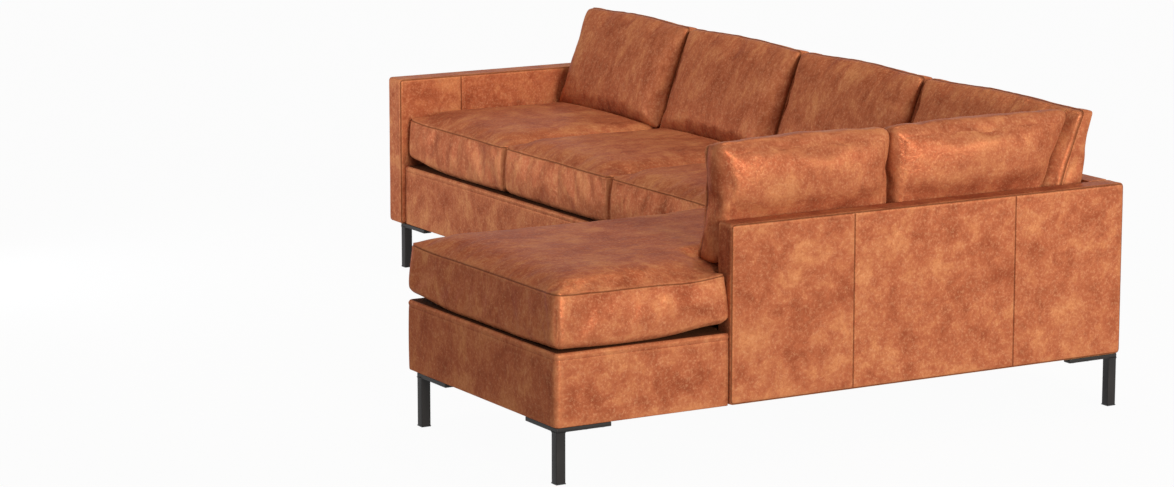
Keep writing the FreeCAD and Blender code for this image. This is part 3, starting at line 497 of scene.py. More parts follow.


def leather_material():
    """Aniline cowhide, drum dyed and waxed: the dye lies in clouds, a highlight is painted paler
    on bent edges and crowns, dark thread and painted shade lie in the seams, and fine pale flecks
    and creases run through a soft satin grain."""
    look = bpy.context.scene.sofa_leather
    material, tree, shader = new_material(
        "waxed_aniline_cowhide", look.base, Roughness=look.roughness, Specular_IOR_Level=0.015,
        IOR=1.5, Metallic=0.23, Specular_Tint=rgba(look.light))
    place = add(tree, "ShaderNodeTexCoord", output="Object")
    drawn = add(tree, "ShaderNodeMapping", {"Vector": place, "Scale": (1, 0.45, 0.45)})
    panel, seam, worn = [
        add(tree, "ShaderNodeAttribute", output="Fac", attribute_name=name)
        for name in ("hide", "seam_mm", "worn")]
    patterns = []
    for vector, size, detail, rough, shift, distortion in (
            (place, look.cloud, 5, 0.6, 0, 0.5),
            (drawn, 22 * MM, 5, 0.7, 11, 0.6),
            (place, 6.5 * MM, 3, 0.75, 23, 0),
            (place, 28 * MM, 5, 0.55, 37, 1.2)):
        hide = add(tree, "ShaderNodeMath", {0: panel, 1: HIDE_STEP, 2: shift},
                   operation="MULTIPLY_ADD")
        patterns.append(add(tree, "ShaderNodeTexNoise",
                            {"Vector": vector, "W": hide, "Scale": 1 / size, "Detail": detail,
                             "Roughness": rough, "Distortion": distortion},
                            noise_dimensions="4D"))
    clouds, streaks, flecks, creases = patterns
    dye = add(tree, "ShaderNodeMix", {FACTOR: MAIN_SHARE, NUMBER_A: streaks, NUMBER_B: clouds})
    colour = add(tree, "ShaderNodeValToRGB", {"Fac": dye},
                 stops=[(0.385, look.dark), (0.5, look.base), (0.615, look.light)])
    pale = add(tree, "ShaderNodeValToRGB", {"Fac": flecks}, stops=[(0.5, 0), (0.68, 0.42)])
    deep = add(tree, "ShaderNodeValToRGB", {"Fac": flecks}, stops=[(0.34, 0.35), (0.48, 0)])
    # painted highlight: bent edges and crowns are mixed towards the highlight colour, in patches
    # that follow the streaks
    bent = add(tree, "ShaderNodeValToRGB", {"Fac": worn}, stops=[(0.05, 0), (0.6, 1)])
    patchy = add(tree, "ShaderNodeValToRGB", {"Fac": streaks}, stops=[(0.35, 0.1), (0.62, 0.4)])
    highlighted = add(tree, "ShaderNodeMath", {0: bent, 1: patchy}, operation="MULTIPLY")
    # dark thread and painted shade in the seam's groove, strongest at the seam and fading over a
    # few millimetres
    beside = add(tree, "ShaderNodeMath", {0: seam, 1: SEAM_REACH}, operation="DIVIDE")
    sunk = add(tree, "ShaderNodeValToRGB", {"Fac": beside},
               stops=[(0, 0.78), (0.09, 0.45), (0.19, 0.05), (1, 0)])
    for factor, tint in ((pale, look.fleck), (deep, look.dark), (highlighted, look.highlighted),
                         (sunk, look.thread)):
        colour = add(tree, "ShaderNodeMix",
                     {FACTOR: factor, COLOUR_A: colour, COLOUR_B: rgba(tint)}, MIXED_COLOUR,
                     data_type="RGBA")
    tree.links.new(colour, shader.inputs["Base Color"])
    shine = add(tree, "ShaderNodeMapRange",
                {"Value": streaks, "From Min": 0.3, "From Max": 0.7,
                 "To Min": look.roughness - 0.07, "To Max": look.roughness + 0.09})
    tree.links.new(shine, shader.inputs["Roughness"])
    # pebbles of the grain, 1 mm on the hide, drawn coarser to show
    pebbles = add(tree, "ShaderNodeTexVoronoi",
                  {"Vector": place, "Scale": 1 / look.grain, "Smoothness": 0.6}, "Distance",
                  feature="SMOOTH_F1")
    soft = add(tree, "ShaderNodeBump",
               {"Height": creases, "Strength": 0.5, "Distance": 3.5 * MM})
    grain = add(tree, "ShaderNodeBump",
                {"Height": pebbles, "Normal": soft, "Strength": 0.25, "Distance": 0.6 * MM})
    tree.links.new(grain, shader.inputs["Normal"])
    return material


def cloth_material(name, colour, thread, spacing, **values):
    """Woven cloth: two crossed waves give its threads, one spacing apart. A wave repeats each time
    its place times its scale times 20 grows by 2 pi."""
    material, tree, shader = new_material(name, colour, **values)
    place = add(tree, "ShaderNodeTexCoord", output="Object")
    warp, weft = [
        add(tree, "ShaderNodeTexWave",
            {"Vector": place, "Scale": math.pi / (10 * spacing), "Distortion": 0.4, "Detail": 1},
            "Fac", bands_direction=axis)
        for axis in ("X", "Y")]
    weave = add(tree, "ShaderNodeMath", {0: warp, 1: weft}, operation="MULTIPLY")
    fuzz = add(tree, "ShaderNodeTexNoise", {"Vector": place, "Scale": 60, "Detail": 3})
    mixed = add(tree, "ShaderNodeMix", {FACTOR: MAIN_SHARE, NUMBER_A: fuzz, NUMBER_B: weave})
    tint = add(tree, "ShaderNodeValToRGB", {"Fac": mixed}, stops=[(0.2, thread), (0.7, colour)])
    dress(tree, shader, tint, weave, 0.4, 0.4 * MM)
    return material


def speckled_material(name, colour, second, size, depth, **values):
    """A finish whose colour and height vary by fine noise: powder coat, moulded plastic, zinc."""
    material, tree, shader = new_material(name, colour, **values)
    place = add(tree, "ShaderNodeTexCoord", output="Object")
    spots = add(tree, "ShaderNodeTexNoise",
                {"Vector": place, "Scale": 1 / size, "Detail": 3, "Roughness": 0.6})
    broad = add(tree, "ShaderNodeTexNoise", {"Vector": place, "Scale": 14, "Detail": 2})
    mixed = add(tree, "ShaderNodeMix", {FACTOR: MAIN_SHARE, NUMBER_A: broad, NUMBER_B: spots})
    tint = add(tree, "ShaderNodeValToRGB", {"Fac": mixed}, stops=[(0.35, second), (0.65, colour)])
    dress(tree, shader, tint, spots, 0.35, depth)
    return material


def wood_material():
    """Planed pine and plywood: long fibres along each board, knots left out, matt and dry."""
    colour, dark = linear("#c79f6b"), linear("#a67a48")
    material, tree, shader = new_material("planed_pine", colour, Roughness=0.72)
    place = add(tree, "ShaderNodeTexCoord", output="Object")
    along = add(tree, "ShaderNodeMapping", {"Vector": place, "Scale": (1, 1, 6)})
    fibre = add(tree, "ShaderNodeTexNoise",
                {"Vector": along, "Scale": 22, "Detail": 5, "Roughness": 0.62, "Distortion": 0.8})
    tint = add(tree, "ShaderNodeValToRGB", {"Fac": fibre}, stops=[(0.36, dark), (0.62, colour)])
    dress(tree, shader, tint, fibre, 0.3, 0.6 * MM)
    return material


def paint_material():
    """Powder coated steel: satin black with a fine orange peel."""
    return speckled_material("powder_coated_steel", tuple(bpy.context.scene.sofa_frame.paint),
                             linear("#171514"), 1.5 * MM, 0.2 * MM, Roughness=0.55,
                             Specular_IOR_Level=0.3)


FINISHES = {
    "leather": leather_material,
    "wood": wood_material,
    "paint": paint_material,
    # coarse brown weave that keeps cushions from sliding, matt and dark between them
    "deck_cloth": lambda: cloth_material("woven_deck_cloth", linear("#6b4129"), linear("#4a2c1c"),
                                         1.4 * MM, Roughness=0.9, Specular_IOR_Level=0.05),
    # thin black fleece, all matt
    "dust_cloth": lambda: cloth_material("spunbond_dust_cloth", linear("#26241f"),
                                         linear("#151412"), 2.23 * MM, Roughness=0.95),
    # black moulded foot, slightly glossy
    "plastic": lambda: speckled_material("moulded_polyethylene", linear("#191919"),
                                         linear("#101010"), 2 * MM, 0.2 * MM, Roughness=0.5),
    # bright bluish grey plating with faint spangles
    "zinc": lambda: speckled_material("zinc_plated_steel", linear("#b9bcc0"), linear("#8f9296"),
                                      4 * MM, 0.1 * MM, Roughness=0.32, Metallic=1.0),
    # dark bare wire, drawn smooth
    "spring": lambda: speckled_material("drawn_spring_wire", linear("#6c6e72"),
                                        linear("#46484b"), 6 * MM, 0.1 * MM, Roughness=0.38,
                                        Metallic=1.0),
}
MADE = {}


def finish_of(name):
    """The material of a finish, made once."""
    if name not in MADE:
        MADE[name] = FINISHES[name]()
    return MADE[name]


# A cushion before its simulation: its body and its pad, the function that turns the pad's own frame
# into the sofa's, the least and greatest place along each world axis, and the points that rest on
# something
Cushion = namedtuple("Cushion", "name body pad to_world limits held")
QUARTER = np.radians([18, 36, 54, 72, 90])
SIDE_GAP = 0.7 * MM  # how far a cushion's side may pass its CAD box


def seat_rows(thickness, bulge, foot):
    """Rings of a seat's boxing: it bulges by sin(0.62 pi t)^0.7 from the top seam down, where t
    goes from 0 to 1, and its bottom edge is rounded. Each row is an inset and a height."""
    height = thickness - foot
    rows = []
    for share in (0, 0.016, 0.036, 0.075, 0.14, 0.24, 0.36, 0.5, 0.64, 0.78, 0.9, 1):
        out = bulge * math.sin(math.pi * 0.62 * share) ** 0.7
        rows.append((-out, thickness - share * height))
    last = -rows[-1][0]
    for turn in QUARTER:
        rows.append((-last + (foot + last) * (1 - math.cos(turn)), foot * (1 - math.sin(turn))))
    return rows


def soft_clip(value, lowest, highest, ease=4 * MM):
    """Holds values between two limits, bending towards each one over the last few millimetres."""
    def below(values, limit):
        over = values - (limit - ease)
        return np.where(over > 0, limit - ease + ease * (1 - np.exp(-np.maximum(over, 0) / ease)),
                        values)
    return -below(-below(value, highest), -lowest)


def lift_corners(points, thickness, corners):
    """Draws a seat's corners up: its foot rises by a bell curve round each corner, fading to
    nothing two thirds up the boxing, and the top seam by a fifth of that. A corner is its place and
    rise in millimetres."""
    foot_share = np.clip(1 - points[:, 2] / (0.67 * thickness), 0, 1) ** 1.5
    seam_share = 0.2 * smooth(points[:, 2] / thickness)
    for x, y, rise in corners:
        away = np.hypot(points[:, 0] - x * MM, points[:, 1] - y * MM)
        points[:, 2] += rise * MM * (foot_share * np.exp(-(away / (150 * MM)) ** 2)
                                     + seam_share * np.exp(-(away / (70 * MM)) ** 2))


# Body of each seat, and its corners that are drawn up, as lift_corners takes them
SEATS = {"seat_cushion_1": ("seat_1", [(0, 0, 24), (660, 0, 5)]),
         "seat_cushion_2": ("seat_2", [(0, 0, 5), (660, 0, 5)]),
         "seat_cushion_3": ("seat_3", [(0, 0, 5), (660, 0, 5)]),
         "corner_seat_cushion": ("corner_seat", []),
         "bumper_seat_cushion": ("bumper_seat", [(0, 0, 18), (829, 0, 7), (829, 524, 22)])}
SEAT_THICK, SEAT_RISE, SEAT_FOOT = 147 * MM, 38 * MM, 24 * MM
SEAT_RADIUS, SEAT_DRAW = 24 * MM, 5 * MM
REST_GAP = 0.8 * MM  # between a seat and the back cushion that stands on it
PRESSED = 45 * MM  # width over which a seat's crown dips under a back cushion
PRESSED_START = -425 * MM  # place on Y where the dip under the side back's cushions begins


def seat_cushions():
    """Seat cushions: crowned tops that are pressed flat where a back cushion stands on them."""
    look = bpy.context.scene.sofa_cushions
    z = low("seat_cushion_1_cover", 2)
    made = []
    for name, (body, corners) in SEATS.items():
        start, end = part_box(name + "_cover")
        x0, y0, width, depth = start[0], start[1], end[0] - start[0], end[1] - start[1]
        bumper = name.startswith("bumper")
        notch = (X_SIDE - MM - x0, Y_BUMPER - MM - y0) if bumper else None
        plan = Plan(width, depth, SEAT_RADIUS, look.cell, notch, draws=[SEAT_DRAW] * 4)
        flat = plan.at(0)
        shape = crown(plan, 190 * MM) * SEAT_RISE
        shape += noise(flat + x0, 160 * MM, 3) * 1.5 * MM * crown(plan, 120 * MM)
        x, y = (flat + np.array([x0, y0])).T
        dips = [(Z_MAIN_BACKS, smooth((y - BACK_FRONT + PRESSED) / PRESSED))]
        if body in ("bumper_seat", "corner_seat"):
            dips.append((Z_SIDE_BACKS, smooth((x - SIDE_FRONT + PRESSED) / PRESSED)
                         * smooth((y - PRESSED_START) / PRESSED)))
        for under, share in dips:
            room = under - REST_GAP - z - SEAT_THICK
            shape = np.minimum(shape, shape + (room - shape) * share)
        pad = Pad(plan, seat_rows(SEAT_THICK, look.seat_bulge, SEAT_FOOT), shape,
                  np.zeros(plan.index.size))
        held = pad.points[:, 2] < 3 * MM
        lift_corners(pad.points, SEAT_THICK, corners)
        limits = [(x0 - SIDE_GAP, end[0] + (look.seat_bulge if bumper else SIDE_GAP)),
                  (y0 - look.seat_bulge, end[1] + SIDE_GAP), (z, None)]

        def to_world(points, corner=np.array([x0, y0, z])):
            return points + corner

        made.append(Cushion(name, body, pad, to_world, limits, held))
    return made


BACK_TOP, BACK_FOOT, BACK_DEPTH = 322 * MM, 93 * MM, 84 * MM
BACK_ROUND, TOP_ARCH = 30 * MM, 19 * MM
BOARD_ROUND, REAR_GAP = 10 * MM, 0.3 * MM  # a board's rounded top edge, and what is clear of it
# What the back cushions of the long side and those turned to the side back don't share: thickness
# at the top, corner radius, how far the sides draw in, taper of the boxing, height of the front's
# steep rim, height and reach of its crown, and height of the rear's
BackForm = namedtuple("BackForm", "head radius draw taper rim rise reach behind")
MAIN_BACK = BackForm(47 * MM, 18 * MM, 1 * MM, 7 * MM, 9 * MM, 37 * MM, 140 * MM, 14 * MM)
SIDE_BACK = BackForm(74 * MM, 26 * MM, 4 * MM, 0, 16 * MM, 19 * MM, 118 * MM, 20 * MM)
MAIN_BULGE = 2 * MM
MITRE_EXTRA, MITRE_FOOT = 8 * MM, 16 * MM  # slanted end: what it reaches past its box, and clears
FREE_END = 8 * MM  # how far the first cushion along the side back may swell at its free end


def rear_foot(face, lean, z):
    """Place of a leaning cushion's rear panel at its foot, so that it touches the rounded top edge
    of the board behind it: face is the board's face, z the foot's height."""
    touch = face + BOARD_ROUND - (BOARD_ROUND + REAR_GAP) / math.cos(lean)
    return touch - (Z_ARM - BOARD_ROUND - z) * math.tan(lean)


def back_rows(bulge, taper):
    """Rings of a back cushion's boxing as insets and shares of its depth. It starts at the front
    seam, draws in by the taper, and the last part turns by a quarter circle into the rear panel,
    without a seam."""
    rows = []
    turn_share = BACK_ROUND / BACK_DEPTH
    for share in (0, 0.025, 0.06, 0.13, 0.26, 0.42, 0.6, 0.8, 1):
        out = bulge * math.sin(math.pi * 0.6 * share) ** 0.7 - taper * share
        rows.append((-out, 1 - share * (1 - turn_share)))
    last = -rows[-1][0]
    for turn in QUARTER:
        rows.append((-last + (BACK_ROUND + last) * (1 - math.cos(turn)),
                     turn_share * (1 - math.sin(turn))))
    return rows


def back_cushions():
    """Back cushions: they lean on the boards behind them, thicker at the foot than at the head. The
    last one along the side back ends in a slant beside the corner's."""
    look = bpy.context.scene.sofa_cushions
    made = []
    for name, body in (("back_cushion_1", "back_1"), ("back_cushion_2", "back_2"),
                       ("back_cushion_3", "back_3"), ("corner_back_cushion", "corner_back"),
                       ("return_back_cushion_1", "return_back_1"),
                       ("return_back_cushion_2", "return_back_2")):
        turned = name.startswith("return")
        form = SIDE_BACK if turned else MAIN_BACK
        lean, z = (RETURN_LEAN, Z_SIDE_BACKS) if turned else (MAIN_LEAN, Z_MAIN_BACKS)
        rear = rear_foot(X_SIDE if turned else Y_BACK, lean, z)
        start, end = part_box(name + "_cover")
        axis = 1 if turned else 0
        slant = extra = 0
        if name == "return_back_cushion_2":
            extra = MITRE_EXTRA
            slant = math.tan(MAIN_LEAN) * BACK_TOP + BACK_FOOT - form.head + extra + MITRE_FOOT
        plan = Plan(end[axis] - start[axis] + extra, BACK_TOP, form.radius, look.cell, None,
                    draws=(0, form.draw, -TOP_ARCH, form.draw), slant=slant)
        rows = back_rows(look.back_bulge if turned else MAIN_BULGE, form.taper)
        front = crown(plan, form.reach) * form.rise + crown(plan, 9 * MM) * form.rim
        up = np.repeat(plan.ys, len(plan.xs))
        clear = smooth((up + z - Z_ARM + BOARD_ROUND) / (70 * MM))
        behind = crown(plan, 130 * MM) ** 1.6 * clear * form.behind
        pad = Pad(plan, rows, front, behind, depth=BACK_DEPTH)

        def to_world(points, turned=turned, start=start, last=end[1] + extra, lean=lean, z=z,
                     rear=rear, head=form.head):
            """The depth is 0 at the rear seam and 1 at the front seam; beyond, it counts metres."""
            across, up, depth = points.T
            thick = BACK_FOOT + (head - BACK_FOOT) * np.clip(up / BACK_TOP, 0, 1)
            inside = np.clip(depth, 0, 1)
            back = rear + up * math.tan(lean) - inside * thick - (depth - inside)
            if turned:
                return np.stack([back, last - across, z + up], axis=-1)
            return np.stack([start[0] + across, back, z + up], axis=-1)

        limits = [(None, None), (None, None), (z, None)]
        free = FREE_END if name == "return_back_cushion_1" else SIDE_GAP
        limits[axis] = (start[axis] - free, end[axis] + extra + SIDE_GAP)
        leaning = (pad.points[:, 2] < 20 * MM) & (pad.points[:, 1] + z < Z_ARM)
        made.append(Cushion(name, body, pad, to_world, limits,
                            leaning | (pad.points[:, 1] < MM)))
    return made


def within(points, limits, far=9.0):
    """The points, each held inside its limits; None is no limit."""
    result = points.copy()
    for axis, (lowest, highest) in enumerate(limits):
        result[:, axis] = soft_clip(result[:, axis], -far if lowest is None else lowest,
                                    far if highest is None else highest)
    return result


def weight_group(thing, name, weights):
    """A vertex group of the given weights, rounded to tenths."""
    group = thing.vertex_groups.new(name=name)
    levels = np.round(weights * 10).astype(int)
    for level in np.unique(levels):
        if level:
            group.add(np.nonzero(levels == level)[0].tolist(), level / 10, "REPLACE")
    return name


AIM, LEAST_SHARE, MOST_SHARE = 8 * MM, 0.3, 1.6  # mean swell wanted, and how it may be scaled


def blow_up(things, cushions):
    """Fills the covers: each one starts a little too small, is blown up by cloth pressure without
    gravity, and is let go after the last frame. Leather near the seams is cut shorter, so it
    puckers."""
    look = bpy.context.scene.sofa_cushions
    starts = []
    for thing, cushion in zip(things, cushions):
        pad = cushion.pad
        full = read_points(thing)
        normals = outward(full, pad.faces)
        free = 1 - np.exp(-pad.seam / (18 * MM))
        start = full - normals * (free * ~cushion.held * 6 * MM)[:, None]
        write_points(thing, start)
        starts.append((full, start, normals))
        modifier = thing.modifiers.new("filling", "CLOTH")
        cloth = modifier.settings
        cloth.quality = 5
        cloth.mass = 0.25
        cloth.tension_stiffness = cloth.compression_stiffness = 18
        cloth.shear_stiffness = 8
        cloth.bending_stiffness = 3
        cloth.air_damping = 1.5
        cloth.use_pressure = True
        cloth.uniform_pressure_force = look.pressure
        cloth.effector_weights.gravity = 0
        cloth.vertex_group_mass = weight_group(thing, "resting", cushion.held * 1.0)
        cloth.vertex_group_shrink = weight_group(thing, "seam", np.exp(-pad.seam / (14 * MM)))
        cloth.shrink_min, cloth.shrink_max = -0.02, 0.025
        modifier.collision_settings.use_collision = False
        modifier.point_cache.frame_start = 1
        modifier.point_cache.frame_end = look.frames
    for number in range(1, look.frames + 1):
        bpy.context.scene.frame_set(number)
    graph = bpy.context.evaluated_depsgraph_get()
    for thing, cushion, (full, start, normals) in zip(things, cushions, starts):
        moved = read_points(thing.evaluated_get(graph)) - start
        size = np.linalg.norm(moved, axis=1, keepdims=True)
        moved *= np.minimum(1, look.swell / np.maximum(size, 1e-9))
        crowned = (cushion.pad.seam > 60 * MM) & ~cushion.held
        gained = (moved * normals).sum(axis=1)[crowned].mean()
        share = np.clip(AIM / max(gained, MM), LEAST_SHARE, MOST_SHARE)
        thing.modifiers.clear()
        thing.vertex_groups.clear()
        write_points(thing, full + (start + moved * share - full) * look.slack)


def subdivide(thing):
    """Divides each face once and rounds the surface."""
    modifier = thing.modifiers.new("subdivision", "SUBSURF")
    modifier.levels = modifier.render_levels = 1
    apply_modifiers(thing)


def make_cushions(cushions):
    """Blows the cushions up with cloth pressure, holds them in place and sews their seams."""
    look = bpy.context.scene.sofa_cushions
    things = [make_mesh(cushion.name, cushion.to_world(cushion.pad.points), cushion.pad.faces,
                        cushion.pad.seam, cushion.pad.panels) for cushion in cushions]
    blow_up(things, cushions)
    for thing, cushion in zip(things, cushions):
        write_points(thing, within(read_points(thing), cushion.limits))
        subdivide(thing)
        sew(thing, look.groove, look.pucker)
        finish_piece(thing, finish_of("leather"), cushion.body, "cover_leather",
                     cushion.name + "_cover", cushion.name + "_core", fill=0.8)


FULL_HIGHLIGHT_RADIUS = 35 * MM  # a bend this tight gets the full painted highlight
SHARPEST = 100  # bends per metre


def mark_highlight_bends(thing, rounds=10):
    """Stores where the leather bends outwards, from 0 to 1, where a highlight is painted: the mean
    over a point's edges of how fast the normal turns along each edge, evened out between
    neighbours, times the full highlight radius."""
    mesh = thing.data
    ends = np.empty(len(mesh.edges) * 2, dtype=np.int64)
    mesh.edges.foreach_get("vertices", ends)
    first, second = ends.reshape(-1, 2).T
    points, normals = read_points(thing), read_points(thing, "normal")
    count = len(points)
    step = points[second] - points[first]
    turn = ((normals[second] - normals[first]) * step).sum(axis=1)
    turn = np.clip(turn / np.maximum((step * step).sum(axis=1), 1e-9), -SHARPEST, SHARPEST)
    meeting = np.bincount(first, minlength=count) + np.bincount(second, minlength=count)
    meeting = np.maximum(meeting, 1)
    bend = (np.bincount(first, turn, count) + np.bincount(second, turn, count)) / meeting
    for _ in range(rounds):
        near = np.bincount(first, bend[second], count) + np.bincount(second, bend[first], count)
        bend = (bend + near / meeting) / 2
    layer = mesh.attributes.new("worn", "FLOAT", "POINT")
    layer.data.foreach_set("value", np.clip(bend * FULL_HIGHLIGHT_RADIUS, 0, 1).astype(np.float32))


def sew(thing, depth, pucker):
    """Draws the seams in: a groove of exp(-(d / 1.7 mm)^2), two low lips beside it, and small folds
    that run out from it and fade over 14 mm."""
    # marks the bends on which the leather material paints a highlight
    mark_highlight_bends(thing)
    seam = np.empty(len(thing.data.vertices))
    thing.data.attributes["seam_mm"].data.foreach_get("value", seam)
    seam *= MM
    points, normals = read_points(thing), read_points(thing, "normal")
    seed = sum(map(ord, thing.name)) % 97
    groove = -depth * np.exp(-(seam / (1.7 * MM)) ** 2)
    lips = 0.5 * MM * np.exp(-((seam - 5 * MM) / (2.5 * MM)) ** 2)
    folds = pucker * noise(points, 22 * MM, seed) * np.exp(-seam / (14 * MM))
    folds *= 1 - np.exp(-seam / (2 * MM))
    waves = 0.9 * MM * noise(points, 85 * MM, seed + 1) * smooth(seam / (20 * MM))
    write_points(thing, points + normals * (groove + lips + folds + waves)[:, None])


def board_rows(thickness, inset, bulge):
    """Rings of a boxed board: its boxing stands out of the two seams by a steep rounded rise."""
    rows = []
    for share in (0, 0.02, 0.05, 0.1, 0.18, 0.3, 0.5, 0.7, 0.82, 0.9, 0.95, 0.98, 1):
        near = min(share, 1 - share) * thickness / (18 * MM)
        out = (1 - (1 - min(near, 1)) ** 2.2) ** 0.6
        rows.append((inset - out * bulge, inset + (1 - share) * (thickness - 2 * inset)))
    return rows


BOARD_GROOVE, BOARD_PUCKER, BOARD_PROUD = 1.4 * MM, 0.5 * MM, 0.5 * MM
FREE_RADIUS, JOINT_RADIUS = 16 * MM, 5 * MM  # corners of a board that stands free, or meets others
ARM_SEAM = 232 * MM  # from the arm's front
SIDE_SEAMS = (4 * MM, 540 * MM)  # places along the side back


def board(name, length, height, thickness, seams, to_world, limits, nodes, body, radius):
    """An upholstered board: padded panels front and rear, sewn to a boxing strip."""
    look = bpy.context.scene.sofa_frame
    plan = Plan(length, height, radius, 20 * MM, cross=tuple(seams))
    puff = crown(plan, look.edge) * look.puff
    pad = Pad(plan, board_rows(thickness, look.puff, look.puff + BOARD_PROUD), puff, puff,
              boxed=True)
    thing = make_mesh(name, within(to_world(pad.points), limits), pad.faces, pad.seam, pad.panels)
    subdivide(thing)
    sew(thing, BOARD_GROOVE, BOARD_PUCKER)
    write_points(thing, within(read_points(thing), limits))
    finish_piece(thing, finish_of("leather"), body, "cover_leather", *nodes, fill=1)


def boards():
    """The arm and the backs. Each one's own frame is turned into the sofa's: along the board, up,
    and through it."""
    height = Z_ARM - Z_UNDER
    third = (X_JOINT - X_ARM) / 3
    board("arm", Y_REAR - Y_ARM, height, X_ARM - X_LEFT, [ARM_SEAM],
          lambda p: np.stack([X_LEFT + p[:, 2], Y_ARM + p[:, 0], Z_UNDER + p[:, 1]], axis=-1),
          [(X_LEFT, X_ARM), (Y_ARM, Y_REAR), (Z_UNDER, Z_ARM)],
          ["arm_cover", "main_frame_padding"], "main_frame", FREE_RADIUS)
    board("main_back", X_JOINT - X_ARM, height, Y_REAR - Y_BACK, [third, 2 * third],
          lambda p: np.stack([X_ARM + p[:, 0], Y_REAR - p[:, 2], Z_UNDER + p[:, 1]], axis=-1),
          [(X_ARM, X_JOINT), (Y_BACK, Y_REAR), (Z_UNDER, Z_ARM)],
          ["main_back_cover"], "main_frame", JOINT_RADIUS)
    board("return_rear_back", X_SIDE - X_RETURN, height, Y_REAR - Y_BACK, [],
          lambda p: np.stack([X_RETURN + p[:, 0], Y_REAR - p[:, 2], Z_UNDER + p[:, 1]], axis=-1),
          [(X_RETURN, X_SIDE), (Y_BACK, Y_REAR), (Z_UNDER, Z_ARM)],
          ["return_rear_back_cover"], "return_frame", JOINT_RADIUS)
    board("return_side_back", Y_REAR - Y_SIDE, height, X_RIGHT - X_SIDE,
          [place - Y_SIDE for place in SIDE_SEAMS],
          lambda p: np.stack([X_SIDE + p[:, 2], Y_SIDE + p[:, 0], Z_UNDER + p[:, 1]], axis=-1),
          [(X_SIDE, X_RIGHT), (Y_SIDE, Y_REAR), (Z_UNDER, Z_ARM)],
          ["return_side_back_cover", "return_frame_padding"], "return_frame", FREE_RADIUS)


EDGE_TURN, ROLL_STEPS = 4.5 * MM, 8
STITCH_SINK, STITCH_WIDTH = 0.6 * MM, 1.6 * MM


def base_profile(height, thickness, roll, drop):
    """Section of the padded band, outer bottom edge first: places outwards and up. The outer face
    swells a little, a line of stitches is drawn in below a rolled top edge, and the rear is
    flat."""
    line = height - drop
    up = np.concatenate([
        np.array([0.0, 0.8, 2.2, 4.5]) * MM,
        np.linspace(12 * MM, line - 12 * MM, 9),
        line + np.array([-7, -4, -2, -1, 0, 1, 2, 3.5]) * MM])
    low_edge = np.sqrt(np.clip(1 - (1 - np.clip(up / EDGE_TURN, 0, 1)) ** 2, 0, 1))
    swell = np.sin(np.pi * np.clip(up / line, 0, 1)) ** 0.6
    from_line = abs(up - line)
    out = -3.5 * MM * (1 - low_edge) - 1.6 * MM * (1 - swell)
    out -= STITCH_SINK * np.exp(-(from_line / STITCH_WIDTH) ** 2)
    turn = np.radians(np.linspace(12, 90, ROLL_STEPS))
    roll_out = -thickness + thickness * np.cos(turn)
    roll_up = height - roll + roll * np.sin(turn)
    rear = np.column_stack([np.full(4, -thickness), np.linspace(height * 0.9, 0, 4)])
    outer = np.column_stack([np.append(out, roll_out), np.append(up, roll_up)])
    seam = np.concatenate([from_line + 1.5 * MM, roll_up - line,
                           np.full(len(rear), 31.5 * MM)])
    return np.concatenate([outer, rear]), seam


def sweep(path, normals, profile, seam):
    """Carries a closed section along an open path and closes both ends: the section's first place
    runs along the path's outward normals and its second one upwards."""
    count, around = len(path), len(profile)
    points = np.zeros((count, around, 3))
    points[:, :, :2] = path[:, None] + normals[:, None] * profile[None, :, :1]
    points[:, :, 2] = profile[None, :, 1]
    index = np.arange(count * around).reshape(count, around)
    following = np.roll(index, -1, axis=1)
    quads = np.stack([index[:-1], index[1:], following[1:], following[:-1]], axis=-1)
    faces = quads.reshape(-1, 4).tolist()
    faces.append(index[0].tolist())
    faces.append(index[-1][::-1].tolist())
    values = np.tile(seam, count)
    return points.reshape(-1, 3), faces, values


def rounded_path(corners, radius, step):
    """An open path through corners, each one a quarter circle, with its outward normals (to the
    right of the way it runs)."""
    places, normals = [], []
    corners = [np.array(corner, dtype=float) for corner in corners]
    start = corners[0]
    for number in range(1, len(corners)):
        way = corners[number] - corners[number - 1]
        way /= np.linalg.norm(way)
        outwards = np.array([way[1], -way[0]])
        last = number == len(corners) - 1
        end = corners[number] - (0 if last else way * radius)
        count = max(2, int(np.linalg.norm(end - start) / step) + 1)
        places.append(np.linspace(start, end, count))
        normals.append(np.tile(outwards, (count, 1)))
        if last:
            break
        after = corners[number + 1] - corners[number]
        after /= np.linalg.norm(after)
        centre = end - outwards * radius
        angles = np.radians(np.linspace(0, 90, 9)[1:-1])[:, None]
        next_out = np.array([after[1], -after[0]])
        around = outwards * np.cos(angles) + next_out * np.sin(angles)
        places.append(centre + around * radius)
        normals.append(around)
        start = centre + next_out * radius
    return np.concatenate(places), np.concatenate(normals)


CORNER_RADIUS = 16 * MM
MAIN_HIDE, RETURN_HIDE = 7, 9  # panel numbers of the bands


def bases():
    """The padded bands round the bases."""
    look = bpy.context.scene.sofa_frame
    height = Z_DECK - Z_UNDER
    jobs = [
        ("main", [(X_ARM, Y_BASE), (X_JOINT, Y_BASE)], MAIN_HIDE),
        ("return", [(X_RETURN, Y_BACK), (X_RETURN, Y_FRONT), (X_BUMPER, Y_FRONT),
                    (X_BUMPER, Y_BUMPER)], RETURN_HIDE),
    ]
    for base, corners, hide in jobs:
        path, normals = rounded_path(corners, CORNER_RADIUS, 12 * MM)
        profile, seam = base_profile(height, BAND, look.roll, look.stitch_drop)
        points, faces, values = sweep(path, normals, profile, seam)
        points[:, 2] += Z_UNDER
        thing = make_mesh(base + "_base", points, faces, values, np.full(len(faces), hide))
        # marks the bends on which the leather material paints a highlight
        mark_highlight_bends(thing, 3)
        finish_piece(thing, finish_of("leather"), base + "_frame", "cover_leather",
                     base + "_base_cover", fill=1)


